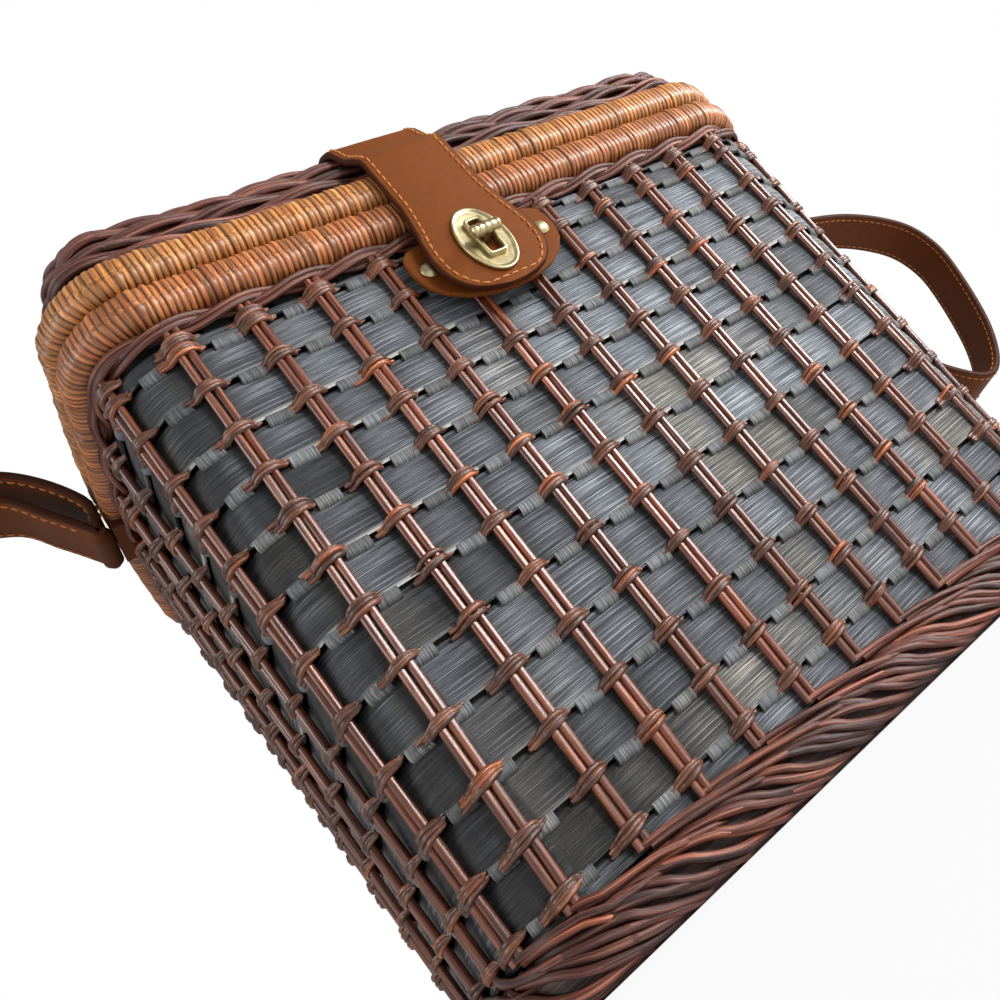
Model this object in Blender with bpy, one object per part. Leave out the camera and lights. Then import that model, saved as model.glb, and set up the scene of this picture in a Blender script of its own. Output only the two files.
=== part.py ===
"""Picnic basket: wood chip hoops on willow rods, a plaited willow foot, cane-bound rims,
a hinged willow lid, a leather tongue with a turn lock, and a leather loop on each side.
Metres, +Z up, the clasp faces -Y, and the basket stands on z = 0."""

import math

import bmesh
import bpy
from mathutils import Matrix, Vector

for old in list(bpy.data.objects):
    bpy.data.objects.remove(old, do_unlink=True)

MM = 0.001

# Clearance between pieces that touch, and how far a cutter runs past a face
touch_gap = 0.3 * MM
overrun = 2.0 * MM

# Tub: the outer face of the chip wall, which leans out from the foot to the rim
rim_half_width = 144.0 * MM
foot_half_width = 130.0 * MM
rim_half_depth = 105.0 * MM
foot_half_depth = 91.0 * MM
side_bow = 5.0 * MM
corner_radius = 22.0 * MM
least_corner_radius = 8.0 * MM
wall_top = 238.5 * MM
corner_steps = 5
side_steps = 6

# Foot border and the board that it holds
border_height = 20.0 * MM
border_reach = 12.5 * MM
border_inset = 6.0 * MM
board_thickness = 6.0 * MM

# Chip hoops: heights as shares of an even row, from the rim down; the rows rise towards +X
hoop_height_shares = (0.0, 0.99, 1.13, 1.0, 1.02, 1.13, 1.14, 1.23, 1.21, 1.22, 1.12, 1.05, 0.76)
row_tilt_share = 0.058
least_hoop_height = 2.0 * MM
chip_thickness = 1.4 * MM
chip_lean = 1.6 * MM
row_gap = 0.8 * MM

# Upright chips inside the hoops
upright_width = 9.0 * MM
upright_thickness = 1.2 * MM
upright_place_share = 0.6
weave_lift_share = 0.4
side_chip_place_shares = (-1.625, -0.625, 0.625, 1.625)

# Willow rods in pairs outside the hoops
rod_radius = 1.7 * MM
rod_pair_gap = 0.3 * MM
front_rod_count = 11
rod_margin_top = 23.0 * MM
rod_margin_foot = 15.5 * MM
side_rod_count = 5
side_rod_margin = 27.0 * MM
corner_rod_angle = math.radians(60.0)

# Lining
lining_thickness = 1.2 * MM

# Twisted willow under the rim, and the two cane-bound rims
waling_height = 7.0 * MM
waling_reach = 7.6 * MM
waling_edge_share = 0.85
rim_height = 15.7 * MM
rim_reach = 10.5 * MM
rim_inset = 8.5 * MM
rim_chamfer = 4.0 * MM

# Lid
skirt_reach = 5.0 * MM
skirt_inset = 9.0 * MM
skirt_rise = 30.0 * MM
skirt_curve_shares = ((0.0, 0.0), (0.12, 0.4), (0.45, 0.78), (1.0, 1.0))
lid_shell_thickness = 4.0 * MM
dome_rise = 9.5 * MM
dome_rise_share = 0.68
dome_flat_inset = 70.0 * MM
lid_lining_thickness = 1.5 * MM

# Lid hinges: leather loops round a brass pin
hinge_spread = 90.0 * MM
pin_radius = 1.5 * MM
pin_clearance = 0.3 * MM
sleeve_radius = 3.6 * MM
sleeve_length = 8.0 * MM
lid_sleeve_length = 14.0 * MM
leaf_thickness = 2.0 * MM
leaf_height = 14.5 * MM
leaf_start_share = 0.5
sleeve_play = 0.4 * MM

# Leather tongue
clasp_x = -14.0 * MM
leather_thickness = 3.0 * MM
tongue_half_width = 22.5 * MM
tongue_neck_share = 0.8
tongue_tip_drop = 2.0 * MM
tongue_bend_gap = 0.9 * MM
tongue_skive = 3.0 * MM
skive_share = 0.45
tongue_pivot_rise = 2.2 * MM
rivet_along_share = 0.45
rivet_across_share = 0.55
rivet_radius = 3.0 * MM
rivet_rise = 1.4 * MM

# Clasp backing and its two studs, and the lock's base
backing_half_width = 31.0 * MM
backing_drop = 3.5 * MM
backing_height = 34.0 * MM
backing_thickness = 2.2 * MM
backing_shift = 2.0 * MM
backing_corner = 7.0 * MM
backing_bow_share = 0.62
stud_radius = 3.6 * MM
stud_rise = 2.2 * MM
stud_spread = 24.5 * MM
stud_rise_on_backing = 21.0 * MM
base_half_width = 8.0 * MM
base_half_height = 11.0 * MM
base_thickness = 2.6 * MM

# Turn lock
lock_rise_on_backing = 20.0 * MM
plate_half_width = 10.0 * MM
plate_half_height = 17.0 * MM
plate_thickness = 1.5 * MM
slot_half_width = 2.9 * MM
slot_half_height = 8.5 * MM
frame_wall = 1.2 * MM
frame_thickness = 1.4 * MM
stem_size = 3.6 * MM
barrel_radius = 2.6 * MM
barrel_length = 12.5 * MM
barrel_clearance = 0.5 * MM

# Side straps: a root threaded under the body rim, and a loop that hangs from its end
strap_width = 28.0 * MM
strap_thickness = 3.2 * MM
strap_head_radius = 3.6 * MM
strap_reach = 129.0 * MM
root_drop = 29.0 * MM
root_bend_radius = 3.0 * MM
root_rivet_share = 0.3
band_steps = 3

# Courses of the two loops, out from the head and up from it, as shares of their reach
right_loop_shares = (
    (0.35, -0.03), (0.70, -0.124), (0.93, -0.29), (1.0, -0.46), (0.966, -0.659), (0.819, -0.984),
    (0.633, -1.163), (0.47, -1.078), (0.245, -0.729), (0.09, -0.38), (0.036, -0.147),
)
left_loop_shares = (
    (0.09, 0.132), (0.19, 0.256), (0.40, 0.31), (0.633, 0.20), (0.811, -0.07), (0.865, -0.419),
    (0.88, -0.651), (0.935, -0.721), (0.985, -0.651), (1.0, -0.419), (0.935, -0.031),
    (0.718, 0.31), (0.408, 0.419), (0.152, 0.333), (0.0, 0.14),
)

wall_height = wall_top - border_height
row_height = wall_height / len(hoop_height_shares)
body_rim_bottom = wall_top + waling_height + 2.0 * touch_gap
body_rim_top = body_rim_bottom + rim_height
lid_rim_bottom = body_rim_top + touch_gap
lid_rim_top = lid_rim_bottom + rim_height
side_wall = rim_half_width + side_bow
rod_pitch_top = (rim_half_width - rod_margin_top) / (front_rod_count // 2)
rod_pitch_foot = (foot_half_width - rod_margin_foot) / (front_rod_count // 2)
side_rod_pitch = (foot_half_depth - side_rod_margin) / (side_rod_count // 2)
backing_bottom = wall_top - backing_drop - backing_height
stud_height = backing_bottom + stud_rise_on_backing
lock_height = backing_bottom + lock_rise_on_backing
tongue_tip_height = backing_bottom - tongue_tip_drop

hoop_reach = chip_thickness + chip_lean
rod_offset = hoop_reach + touch_gap + rod_radius
rod_reach = rod_offset + rod_radius
lining_offset = -(upright_thickness + 2.0 * touch_gap)

basket = bpy.data.collections.new("picnic_basket")
bpy.context.scene.collection.children.link(basket)
cutters = bpy.data.collections.new("cutters")
bpy.context.scene.collection.children.link(cutters)

chip_colour = (0.17, 0.19, 0.22)
rod_colour = (0.17, 0.035, 0.015)
willow_colour = (0.055, 0.017, 0.014)
cane_colour = (0.42, 0.15, 0.035)
leather_colour = (0.30, 0.09, 0.028)
brass_colour = (0.55, 0.42, 0.16)
lining_colour = (0.012, 0.012, 0.014)
board_colour = (0.45, 0.28, 0.14)


def make_material(name, colour, roughness, metallic):
    """Principled material with one colour."""
    material = bpy.data.materials.new(name)
    material.use_nodes = True
    shader = material.node_tree.nodes["Principled BSDF"]
    shader.inputs["Base Color"].default_value = (*colour, 1.0)
    shader.inputs["Roughness"].default_value = roughness
    shader.inputs["Metallic"].default_value = metallic
    material.diffuse_color = (*colour, 1.0)
    return material


def put(name, mesh, colour, roughness, metallic=0.0, pivot=(0.0, 0.0, 0.0)):
    """Object in the basket's collection, with its own material and its origin on a pivot."""
    mesh.transform(Matrix.Translation(-Vector(pivot)))
    mesh.materials.clear()
    mesh.materials.append(make_material(name, colour, roughness, metallic))
    thing = bpy.data.objects.new(name, mesh)
    thing.location = pivot
    basket.objects.link(thing)


def finish_mesh(name, bm, smooth_angle=None):
    """Mesh from a bmesh whose faces are turned outwards."""
    bmesh.ops.recalc_face_normals(bm, faces=bm.faces)
    mesh = bpy.data.meshes.new(name)
    bm.to_mesh(mesh)
    bm.free()
    if smooth_angle is not None:
        mesh.shade_smooth()
        mesh.set_sharp_from_angle(angle=smooth_angle)
    return mesh


def mesh_of_curve(name, curve):
    """Closed mesh of a curve, with its caps welded on."""
    holder = bpy.data.objects.new(name, curve)
    bpy.context.scene.collection.objects.link(holder)
    bpy.context.view_layer.update()
    evaluated = holder.evaluated_get(bpy.context.evaluated_depsgraph_get())
    mesh = bpy.data.meshes.new_from_object(evaluated)
    bm = bmesh.new()
    bm.from_mesh(mesh)
    bmesh.ops.remove_doubles(bm, verts=bm.verts, dist=touch_gap / 30.0)
    bmesh.ops.recalc_face_normals(bm, faces=bm.faces)
    bm.to_mesh(mesh)
    bm.free()
    bpy.data.objects.remove(holder, do_unlink=True)
    return mesh


def flat_plate(name, outlines, thickness):
    """Plate of closed outlines in the XZ plane, its back on y = 0 and its front at -thickness."""
    curve = bpy.data.curves.new(name, "CURVE")
    curve.dimensions = "2D"
    curve.fill_mode = "BOTH"
    curve.extrude = thickness / 2.0
    for outline in outlines:
        spline = curve.splines.new("POLY")
        spline.points.add(len(outline) - 1)
        for point, (x, z) in zip(spline.points, outline):
            point.co = (x, z, 0.0, 1.0)
        spline.use_cyclic_u = True
    mesh = mesh_of_curve(name, curve)
    stand = Matrix.Rotation(math.radians(90.0), 4, "X")
    mesh.transform(Matrix.Translation((0.0, -thickness / 2.0, 0.0)) @ stand)
    return mesh


def ellipse(half_width, half_height, steps):
    """Points of an ellipse about the origin."""
    angles = [math.tau * step / steps for step in range(steps)]
    return [(half_width * math.cos(a), half_height * math.sin(a)) for a in angles]


def rectangle(half_width, half_height):
    """Corners of a rectangle about the origin."""
    return [
        (-half_width, -half_height),
        (half_width, -half_height),
        (half_width, half_height),
        (-half_width, half_height),
    ]


def rod_mesh(name, radius, length, sides, axis):
    """Cylinder centred on the origin along a world axis."""
    bm = bmesh.new()
    bmesh.ops.create_cone(
        bm, cap_ends=True, segments=sides, radius1=radius, radius2=radius, depth=length
    )
    if axis == "X":
        bmesh.ops.rotate(bm, verts=bm.verts, matrix=Matrix.Rotation(math.radians(90.0), 3, "Y"))
    if axis == "Y":
        bmesh.ops.rotate(bm, verts=bm.verts, matrix=Matrix.Rotation(math.radians(90.0), 3, "X"))
    return finish_mesh(name, bm, smooth_angle=math.radians(40.0))


def box_mesh(name, low, high):
    """Box between two corners."""
    bm = bmesh.new()
    place = Matrix.Translation((low + high) / 2.0) @ Matrix.Diagonal((*(high - low), 1.0))
    bmesh.ops.create_cube(bm, size=1.0, matrix=place)
    return finish_mesh(name, bm)


def boolean(mesh, tools, operation, crosses_itself=False):
    """Mesh after an exact Boolean with each tool mesh in turn."""
    body = bpy.data.objects.new("blank", mesh)
    cutters.objects.link(body)
    holders = []
    for tool in tools:
        holder = bpy.data.objects.new("tool", tool)
        holder.display_type = "WIRE"
        holder.hide_render = True
        cutters.objects.link(holder)
        holders.append(holder)
        step = body.modifiers.new(operation.lower(), "BOOLEAN")
        step.operation = operation
        step.use_self = crosses_itself
        step.object = holder
    bpy.context.view_layer.update()
    evaluated = body.evaluated_get(bpy.context.evaluated_depsgraph_get())
    result = bpy.data.meshes.new_from_object(evaluated)
    for holder in holders + [body]:
        bpy.data.objects.remove(holder, do_unlink=True)
    return result


def moved(mesh, offset):
    """Copy of a mesh, shifted."""
    copy = mesh.copy()
    copy.transform(Matrix.Translation(offset))
    return copy


def height_share(z):
    """Share of the way up the wall."""
    return min(max(z / wall_top, 0.0), 1.0)


def wall_size(z):
    """Half width at the corners and half depth of the chip wall's outer face at a height."""
    share = height_share(z)
    half_width = foot_half_width + share * (rim_half_width - foot_half_width)
    half_depth = foot_half_depth + share * (rim_half_depth - foot_half_depth)
    return half_width, half_depth


def bow_at(y, z):
    """How far the side wall bows out at a place along it."""
    return side_bow * max(1.0 - (y / wall_size(z)[1]) ** 2, 0.0) ** 2


def bow_slope(y, z):
    """Change of the bow along y."""
    half_depth = wall_size(z)[1]
    return -4.0 * side_bow * max(1.0 - (y / half_depth) ** 2, 0.0) * y / half_depth ** 2


def plan_loop(offset, z):
    """Plan of the wall at a height, grown by an offset, anticlockwise: round corners, bowed sides."""
    half_width, half_depth = wall_size(z)
    radius = max(corner_radius + offset, least_corner_radius)
    flat_x = half_width + offset - radius
    flat_y = half_depth + offset - radius
    places = []
    for quarter, (side_x, side_y) in enumerate(((1, 1), (-1, 1), (-1, -1), (1, -1))):
        for step in range(corner_steps + 1):
            angle = (quarter + step / corner_steps) * math.pi / 2.0
            x = side_x * flat_x + radius * math.cos(angle)
            y = side_y * flat_y + radius * math.sin(angle)
            places.append((x, y))
        if side_x != side_y:
            for step in range(1, side_steps):
                y = side_y * flat_y * (1.0 - 2.0 * step / side_steps)
                places.append((side_x * (flat_x + radius), y))
    return [Vector((x + math.copysign(bow_at(y, z), x), y, z)) for x, y in places]


def lofted(name, loops, closed):
    """Skin through equal loops; the ends are capped unless the loft closes on itself."""
    bm = bmesh.new()
    rows = [[bm.verts.new(point) for point in loop] for loop in loops]
    count = len(rows[0])
    pairs = list(zip(rows, rows[1:]))
    if closed:
        pairs.append((rows[-1], rows[0]))
    for lower, upper in pairs:
        for index in range(count):
            after = (index + 1) % count
            bm.faces.new((lower[index], lower[after], upper[after], upper[index]))
    if not closed:
        bm.faces.new(rows[0])
        bm.faces.new(rows[-1])
    return finish_mesh(name, bm)


def band(name, centres, normals, half_widths, thicknesses, widths):
    """Strip through centres; each station has a normal and a width direction."""
    loops = []
    for centre, normal, half_width, thickness, across in zip(
        centres, normals, half_widths, thicknesses, widths
    ):
        side = across * half_width
        face = normal * thickness / 2.0
        loops.append([
            centre - side - face, centre + side - face, centre + side + face, centre - side + face
        ])
    return lofted(name, loops, closed=False)


def wall_ring(name, profile):
    """Ring round the wall with a profile of (offset, height) points."""
    return lofted(name, [plan_loop(offset, z) for offset, z in profile], closed=True)


def front_spot(x, z, side_y):
    """Wall point and outward normal on the front (-1) or back (+1) at a place along it."""
    half_width, half_depth = wall_size(z)
    lean = max(abs(x) - (half_width - corner_radius), 0.0) / corner_radius
    normal = Vector((math.copysign(lean, x), side_y * math.sqrt(1.0 - lean * lean), 0.0))
    y = side_y * (half_depth - corner_radius) + corner_radius * normal.y
    return Vector((x, y, z)), normal


def corner_spot(side_x, side_y, z):
    """Wall point and outward normal where a rod stands on a corner."""
    half_width, half_depth = wall_size(z)
    normal = Vector((side_x * math.sin(corner_rod_angle), side_y * math.cos(corner_rod_angle), 0.0))
    centre = Vector((side_x * (half_width - corner_radius), side_y * (half_depth - corner_radius), z))
    spot = centre + corner_radius * normal
    spot.x += side_x * bow_at(spot.y, z)
    return spot, normal


def side_spot(y, z, side_x):
    """Wall point and outward normal on the left (-1) or right (+1) wall."""
    normal = Vector((side_x, -bow_slope(y, z), 0.0)).normalized()
    return Vector((side_x * (wall_size(z)[0] + bow_at(y, z)), y, z)), normal


def front_rod_x(index, z):
    """Place along the front of a rod pair, counted from the middle."""
    return index * (rod_pitch_foot + height_share(z) * (rod_pitch_top - rod_pitch_foot))


def add_bar(bm, start, end, across, width, depth):
    """Straight bar between two points, with its width along a given direction."""
    run = end - start
    deep = run.cross(across).normalized()
    cage = Matrix.Identity(4)
    cage.col[0] = (*(across * width), 0.0)
    cage.col[1] = (*(deep * depth), 0.0)
    cage.col[2] = (*run, 0.0)
    cage.col[3] = (*((start + end) / 2.0), 1.0)
    bmesh.ops.create_cube(bm, size=1.0, matrix=cage)


# Heights of the lines between hoops at x = 0, from the rim down
row_lines = [wall_top]
for share in hoop_height_shares:
    row_lines.append(row_lines[-1] - share * row_height)


def line_height(line, x):
    """Height of a line between hoops, which rises towards +X; the first and last lie level."""
    if line == 0:
        return wall_top
    if line == len(hoop_height_shares):
        return border_height
    tilted = row_lines[line] + row_tilt_share * x
    return min(max(tilted, border_height + least_hoop_height), wall_top - least_hoop_height)


def hoop_edge(offset, line, shift):
    """Plan loop along a line between hoops, each point at the line's height where it lies."""
    loop = []
    for index, point in enumerate(plan_loop(offset, row_lines[line])):
        z = line_height(line, point.x) + shift
        loop.append(plan_loop(offset, z)[index])
    return loop


def side_rod_spots(side_x):
    """Spots of the rods of one side: its two corners and those between them."""
    half = side_rod_count // 2
    spots = [lambda z: corner_spot(side_x, -1.0, z)]
    for index in range(-half, half + 1):
        spots.append(lambda z, y=index * side_rod_pitch: side_spot(y, z, side_x))
    spots.append(lambda z: corner_spot(side_x, 1.0, z))
    return spots


def front_rod_spots(side_y):
    """Spots of the rods of the front or back."""
    half = front_rod_count // 2
    return [
        lambda z, index=index: front_spot(front_rod_x(index, z), z, side_y)
        for index in range(-half, half + 1)
    ]


rod_sets = {
    "front": front_rod_spots(-1.0),
    "back": front_rod_spots(1.0),
    "left": side_rod_spots(-1.0),
    "right": side_rod_spots(1.0),
}


def tubes(name, radius, paths):
    """Round rods along straight or bent paths, as one mesh of separate tubes."""
    curve = bpy.data.curves.new(name, "CURVE")
    curve.dimensions = "3D"
    curve.bevel_depth = radius
    curve.bevel_resolution = 1
    curve.use_fill_caps = True
    for path in paths:
        spline = curve.splines.new("POLY")
        spline.points.add(len(path) - 1)
        for point, place in zip(spline.points, path):
            point.co = (*place, 1.0)
    return mesh_of_curve(name, curve)


def foot_strand(feet, z):
    """Path along the wall's plan through the rods' feet, a little past the outer ones."""
    loop = plan_loop(rod_offset, z)
    first = feet[0]
    last = feet[-1]
    middle = (first + last) / 2.0
    heading = (sum(feet, Vector()) / len(feet)).normalized()
    across = (last - first).normalized()
    reach = (last - first).length / 2.0 - rod_radius
    bends = [
        point for point in loop
        if (point - middle).dot(heading) > touch_gap and abs((point - middle).dot(across)) < reach
    ]
    bends.sort(key=lambda point: point.dot(across))
    path = [first] + bends + [last]
    tail = 2.0 * rod_radius + rod_pair_gap
    start = first + (path[0] - path[1]).normalized() * tail
    end = last + (path[-1] - path[-2]).normalized() * tail
    return [start] + path + [end]


def rods(name, spots):
    """Pairs of willow rods up to the waling, whose feet turn along the border as one strand."""
    low = border_height + touch_gap + rod_radius
    paths = []
    feet = []
    for spot in spots:
        foot, normal = spot(low)
        feet.append(foot + normal * rod_offset)
        for side in (-1.0, 1.0):
            path = []
            for z in (low, wall_top):
                place, normal = spot(z)
                along = Vector((-normal.y, normal.x, 0.0))
                shift = side * (rod_radius + rod_pair_gap / 2.0)
                path.append(place + normal * rod_offset + along * shift)
            paths.append(path)
    strand = tubes(name, rod_radius, [foot_strand(feet, low)])
    return boolean(strand, [tubes(name, rod_radius, paths)], "UNION")


def chip_cage():
    """Upright chips inside the hoops, which cross the floor and are woven into one cage there."""
    low = border_height + touch_gap + upright_thickness / 2.0
    high = body_rim_bottom - touch_gap
    depth = -(touch_gap + upright_thickness / 2.0)
    half = front_rod_count // 2
    strips = []
    for index in range(-half, half):
        place = index + upright_place_share
        sides = [lambda z, s=side, p=place: front_spot(front_rod_x(p, z), z, s) for side in (-1.0, 1.0)]
        strips.append((sides, low, Vector((1.0, 0.0, 0.0))))
    for place in side_chip_place_shares:
        y = place * side_rod_pitch
        sides = [lambda z, s=side, y=y: side_spot(y, z, s) for side in (-1.0, 1.0)]
        strips.append((sides, low + upright_thickness * weave_lift_share, Vector((0.0, 1.0, 0.0))))
    meshes = []
    for (near, far), floor, along in strips:
        path = []
        widths = []
        for side, heights in ((near, (high, wall_top, floor)), (far, (floor, wall_top, high))):
            for z in heights:
                place, normal = side(z)
                path.append(place + normal * depth)
                tangent = Vector((-normal.y, normal.x, 0.0))
                widths.append(tangent * math.copysign(1.0, tangent.dot(along)))
        normals = []
        for index, point in enumerate(path):
            before = path[max(index - 1, 0)]
            after = path[min(index + 1, len(path) - 1)]
            ahead = (after - point).normalized() + (point - before).normalized()
            normals.append(ahead.normalized().cross(along))
        bends = [1.0, 1.0, math.sqrt(2.0), math.sqrt(2.0), 1.0, 1.0]
        meshes.append(band(
            "upright_chips", path, normals, [upright_width / 2.0] * len(path),
            [upright_thickness * bend for bend in bends], widths,
        ))
    cage = meshes[0]
    for mesh in meshes[1:]:
        cage = boolean(cage, [mesh], "UNION")
    return cage


# Foot border: a thick plait with a flat underside, as a ring
border_profile_shares = (
    (0.0, 0.0), (0.72, 0.0), (0.96, 0.26), (1.0, 0.58), (0.8, 0.9), (0.68, 1.0), (0.0, 1.0)
)
border_profile = [
    (-border_inset + reach * (border_inset + border_reach), rise * border_height)
    for reach, rise in border_profile_shares
]
put("foot_border", wall_ring("foot_border", border_profile), willow_colour, 0.6)

# Base board, held inside the border and flush with its top
board_offset = -(border_inset + 2.0 * touch_gap)
board_loops = [
    plan_loop(board_offset, border_height - board_thickness),
    plan_loop(board_offset, border_height),
]
put("base_board", lofted("base_board", board_loops, closed=False), board_colour, 0.7)

# Chip hoops: each leans out towards its lower edge, like a shingle
for number in range(1, len(hoop_height_shares) + 1):
    name = f"chip_hoop_{number:02d}"
    hoop_loops = [
        hoop_edge(0.0, number - 1, -row_gap / 2.0),
        hoop_edge(chip_lean, number, row_gap / 2.0),
        hoop_edge(chip_lean + chip_thickness, number, row_gap / 2.0),
        hoop_edge(chip_thickness, number - 1, -row_gap / 2.0),
    ]
    put(name, lofted(name, hoop_loops, closed=True), chip_colour, 0.65)

put("upright_chips", chip_cage(), chip_colour, 0.7)
for side, spots in rod_sets.items():
    put(f"rods_{side}", rods(f"rods_{side}", spots), rod_colour, 0.4)

# Strap root: level under the body rim, then down inside the lining
lining_inner = lining_offset - lining_thickness
root_height = body_rim_bottom - touch_gap - strap_thickness / 2.0
root_inside = lining_inner - 2.0 * touch_gap - strap_thickness / 2.0
head_x = side_wall + rim_reach + touch_gap + strap_head_radius
slot_half = strap_width / 2.0 + touch_gap


def strap_slots(low):
    """Cutters for the two slots that the strap roots pass through, from a height upwards."""
    cuts = []
    for side_x in (-1.0, 1.0):
        inside = side_x * (side_wall + root_inside)
        outside = side_x * (side_wall + waling_reach + overrun)
        corner = Vector((min(inside, outside), -slot_half, low))
        cuts.append(box_mesh(
            "slot", corner, Vector((max(inside, outside), slot_half, body_rim_bottom + overrun))
        ))
    return cuts


# Lining tub: floor on the board, wall inside the upright chips
lining_low = border_height + 2.0 * touch_gap + (1.0 + weave_lift_share) * upright_thickness
lining_high = body_rim_bottom - touch_gap
lining_loops = [
    plan_loop(lining_offset, lining_low),
    plan_loop(lining_offset, wall_top),
    plan_loop(lining_offset, lining_high),
    plan_loop(lining_inner, lining_high),
    plan_loop(lining_inner, wall_top),
    plan_loop(lining_inner, lining_low + lining_thickness),
]
lining = lofted("lining_tub", lining_loops, closed=False)
lining = boolean(lining, strap_slots(root_height - root_bend_radius), "DIFFERENCE")
put("lining_tub", lining, lining_colour, 0.35)

# Twisted willow waling under the rim, notched for the straps
waling_low = wall_top + touch_gap
waling_high = waling_low + waling_height
waling_mid = (waling_low + waling_high) / 2.0
waling_edge = waling_reach * waling_edge_share
waling_profile = [
    (touch_gap, waling_low), (waling_edge, waling_low), (waling_reach, waling_mid),
    (waling_edge, waling_high), (touch_gap, waling_high),
]
waling_slots = strap_slots(root_height - strap_thickness / 2.0 - touch_gap)
waling = boolean(wall_ring("waling", waling_profile), waling_slots, "DIFFERENCE")
put("waling", waling, willow_colour, 0.6)


def rim_profile(low):
    """Rounded section of a cane-bound rim that starts at a height."""
    high = low + rim_height
    return [
        (-rim_inset + rim_chamfer, low), (rim_reach - rim_chamfer, low),
        (rim_reach, low + rim_chamfer), (rim_reach, high - rim_chamfer),
        (rim_reach - rim_chamfer, high), (-rim_inset + rim_chamfer, high),
        (-rim_inset, high - rim_chamfer), (-rim_inset, low + rim_chamfer),
    ]


# Lid hinges: the pin lies behind the joint between the two rims
hinge_y = rim_half_depth + rim_reach + touch_gap + sleeve_radius
hinge_z = (body_rim_top + lid_rim_bottom) / 2.0
lid_pivot = (0.0, hinge_y, hinge_z)
leaf_front = hinge_y - sleeve_radius
sleeve_step = (lid_sleeve_length + sleeve_length) / 2.0 + sleeve_play
leaf_half_width = sleeve_step + sleeve_length / 2.0
bore_radius = pin_radius + pin_clearance

put("body_rim", wall_ring("body_rim", rim_profile(body_rim_bottom)), cane_colour, 0.45)
lid_rim = wall_ring("lid_rim", rim_profile(lid_rim_bottom))
put("lid_rim", lid_rim, cane_colour, 0.45, pivot=lid_pivot)

# Lid skirt: courses of willow that rise and draw in from the lid's rim
skirt_low = lid_rim_top + touch_gap
skirt_high = skirt_low + skirt_rise
skirt_run = skirt_reach + skirt_inset
skirt_outer = [
    (skirt_reach - run * skirt_run, skirt_low + rise * skirt_rise)
    for run, rise in skirt_curve_shares
]
inner_run = skirt_run - lid_shell_thickness
inner_rise = skirt_rise - lid_shell_thickness
skirt_inner = [
    (skirt_reach - lid_shell_thickness - run * inner_run, skirt_low + rise * inner_rise)
    for run, rise in skirt_curve_shares
]
lid_skirt = wall_ring("lid_skirt", skirt_outer + skirt_inner[::-1])
put("lid_skirt", lid_skirt, willow_colour, 0.6, pivot=lid_pivot)

# Lid top: a low dome that closes the skirt
dome_edge = -(skirt_inset + touch_gap)
dome_mid = (dome_edge - dome_flat_inset) / 2.0
dome_points = [
    (dome_edge, skirt_high),
    (dome_mid, skirt_high + dome_rise_share * dome_rise),
    (-dome_flat_inset, skirt_high + dome_rise),
]
top_loops = [plan_loop(offset, z) for offset, z in dome_points[::-1]]
top_loops += [plan_loop(offset, z - lid_shell_thickness) for offset, z in dome_points]
put("lid_top", lofted("lid_top", top_loops, closed=False), willow_colour, 0.6, pivot=lid_pivot)

# Lid lining: a fabric-covered panel across the inside of the lid's rim
panel_mid = (lid_rim_bottom + lid_rim_top) / 2.0
panel_offset = -(rim_inset + touch_gap)
panel_loops = [
    plan_loop(panel_offset, panel_mid),
    plan_loop(panel_offset, panel_mid + lid_lining_thickness),
]
panel = lofted("lid_lining", panel_loops, closed=False)
put("lid_lining", panel, lining_colour, 0.8, pivot=lid_pivot)


def hinge_leather(name, sleeves, direction):
    """Leather leaf that turns over into sleeves round the pin; direction +1 goes up the lid."""
    gap = sleeve_radius * leaf_start_share
    across = Vector((1.0, 0.0, 0.0))
    bm = bmesh.new()
    near = Vector((0.0, leaf_front + leaf_thickness / 2.0, hinge_z + direction * gap))
    far = near + Vector((0.0, 0.0, direction * (leaf_height - gap)))
    for x, length in sleeves:
        shift = Vector((x, 0.0, 0.0))
        add_bar(bm, near + shift, far + shift, across, length - sleeve_play, leaf_thickness)
    leaf = finish_mesh(name, bm)
    tip = far + Vector((0.0, 0.0, direction * sleeve_play))
    start = far - Vector((0.0, 0.0, direction * (leaf_height - sleeve_radius - sleeve_play)))
    bm = bmesh.new()
    add_bar(bm, start, tip, across, 2.0 * leaf_half_width, leaf_thickness + sleeve_play)
    joiners = [finish_mesh(name, bm)]
    for x, length in sleeves:
        tube = rod_mesh(name, sleeve_radius, length, 12, "X")
        joiners.append(moved(tube, (x, hinge_y, hinge_z)))
    leaf = boolean(leaf, joiners, "UNION")
    bore = rod_mesh(name, bore_radius, 2.0 * leaf_half_width + overrun, 10, "X")
    return boolean(leaf, [moved(bore, (0.0, hinge_y, hinge_z))], "DIFFERENCE")


body_sleeves = [(-sleeve_step, sleeve_length), (sleeve_step, sleeve_length)]
lid_sleeves = [(0.0, lid_sleeve_length)]
body_leaf = hinge_leather("hinge_leaf_body", body_sleeves, -1.0)
lid_leaf = hinge_leather("hinge_leaf_lid", lid_sleeves, 1.0)
pin = rod_mesh("hinge_pin", pin_radius, 2.0 * leaf_half_width, 10, "X")
for side, sign in (("left", -1.0), ("right", 1.0)):
    place = Vector((sign * hinge_spread, 0.0, 0.0))
    put(f"hinge_leaf_body_{side}", moved(body_leaf, place), leather_colour, 0.5)
    put(f"hinge_pin_{side}", moved(pin, place + Vector(lid_pivot)), brass_colour, 0.3, 1.0)
    put(f"hinge_leaf_lid_{side}", moved(lid_leaf, place), leather_colour, 0.5, pivot=lid_pivot)

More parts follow.
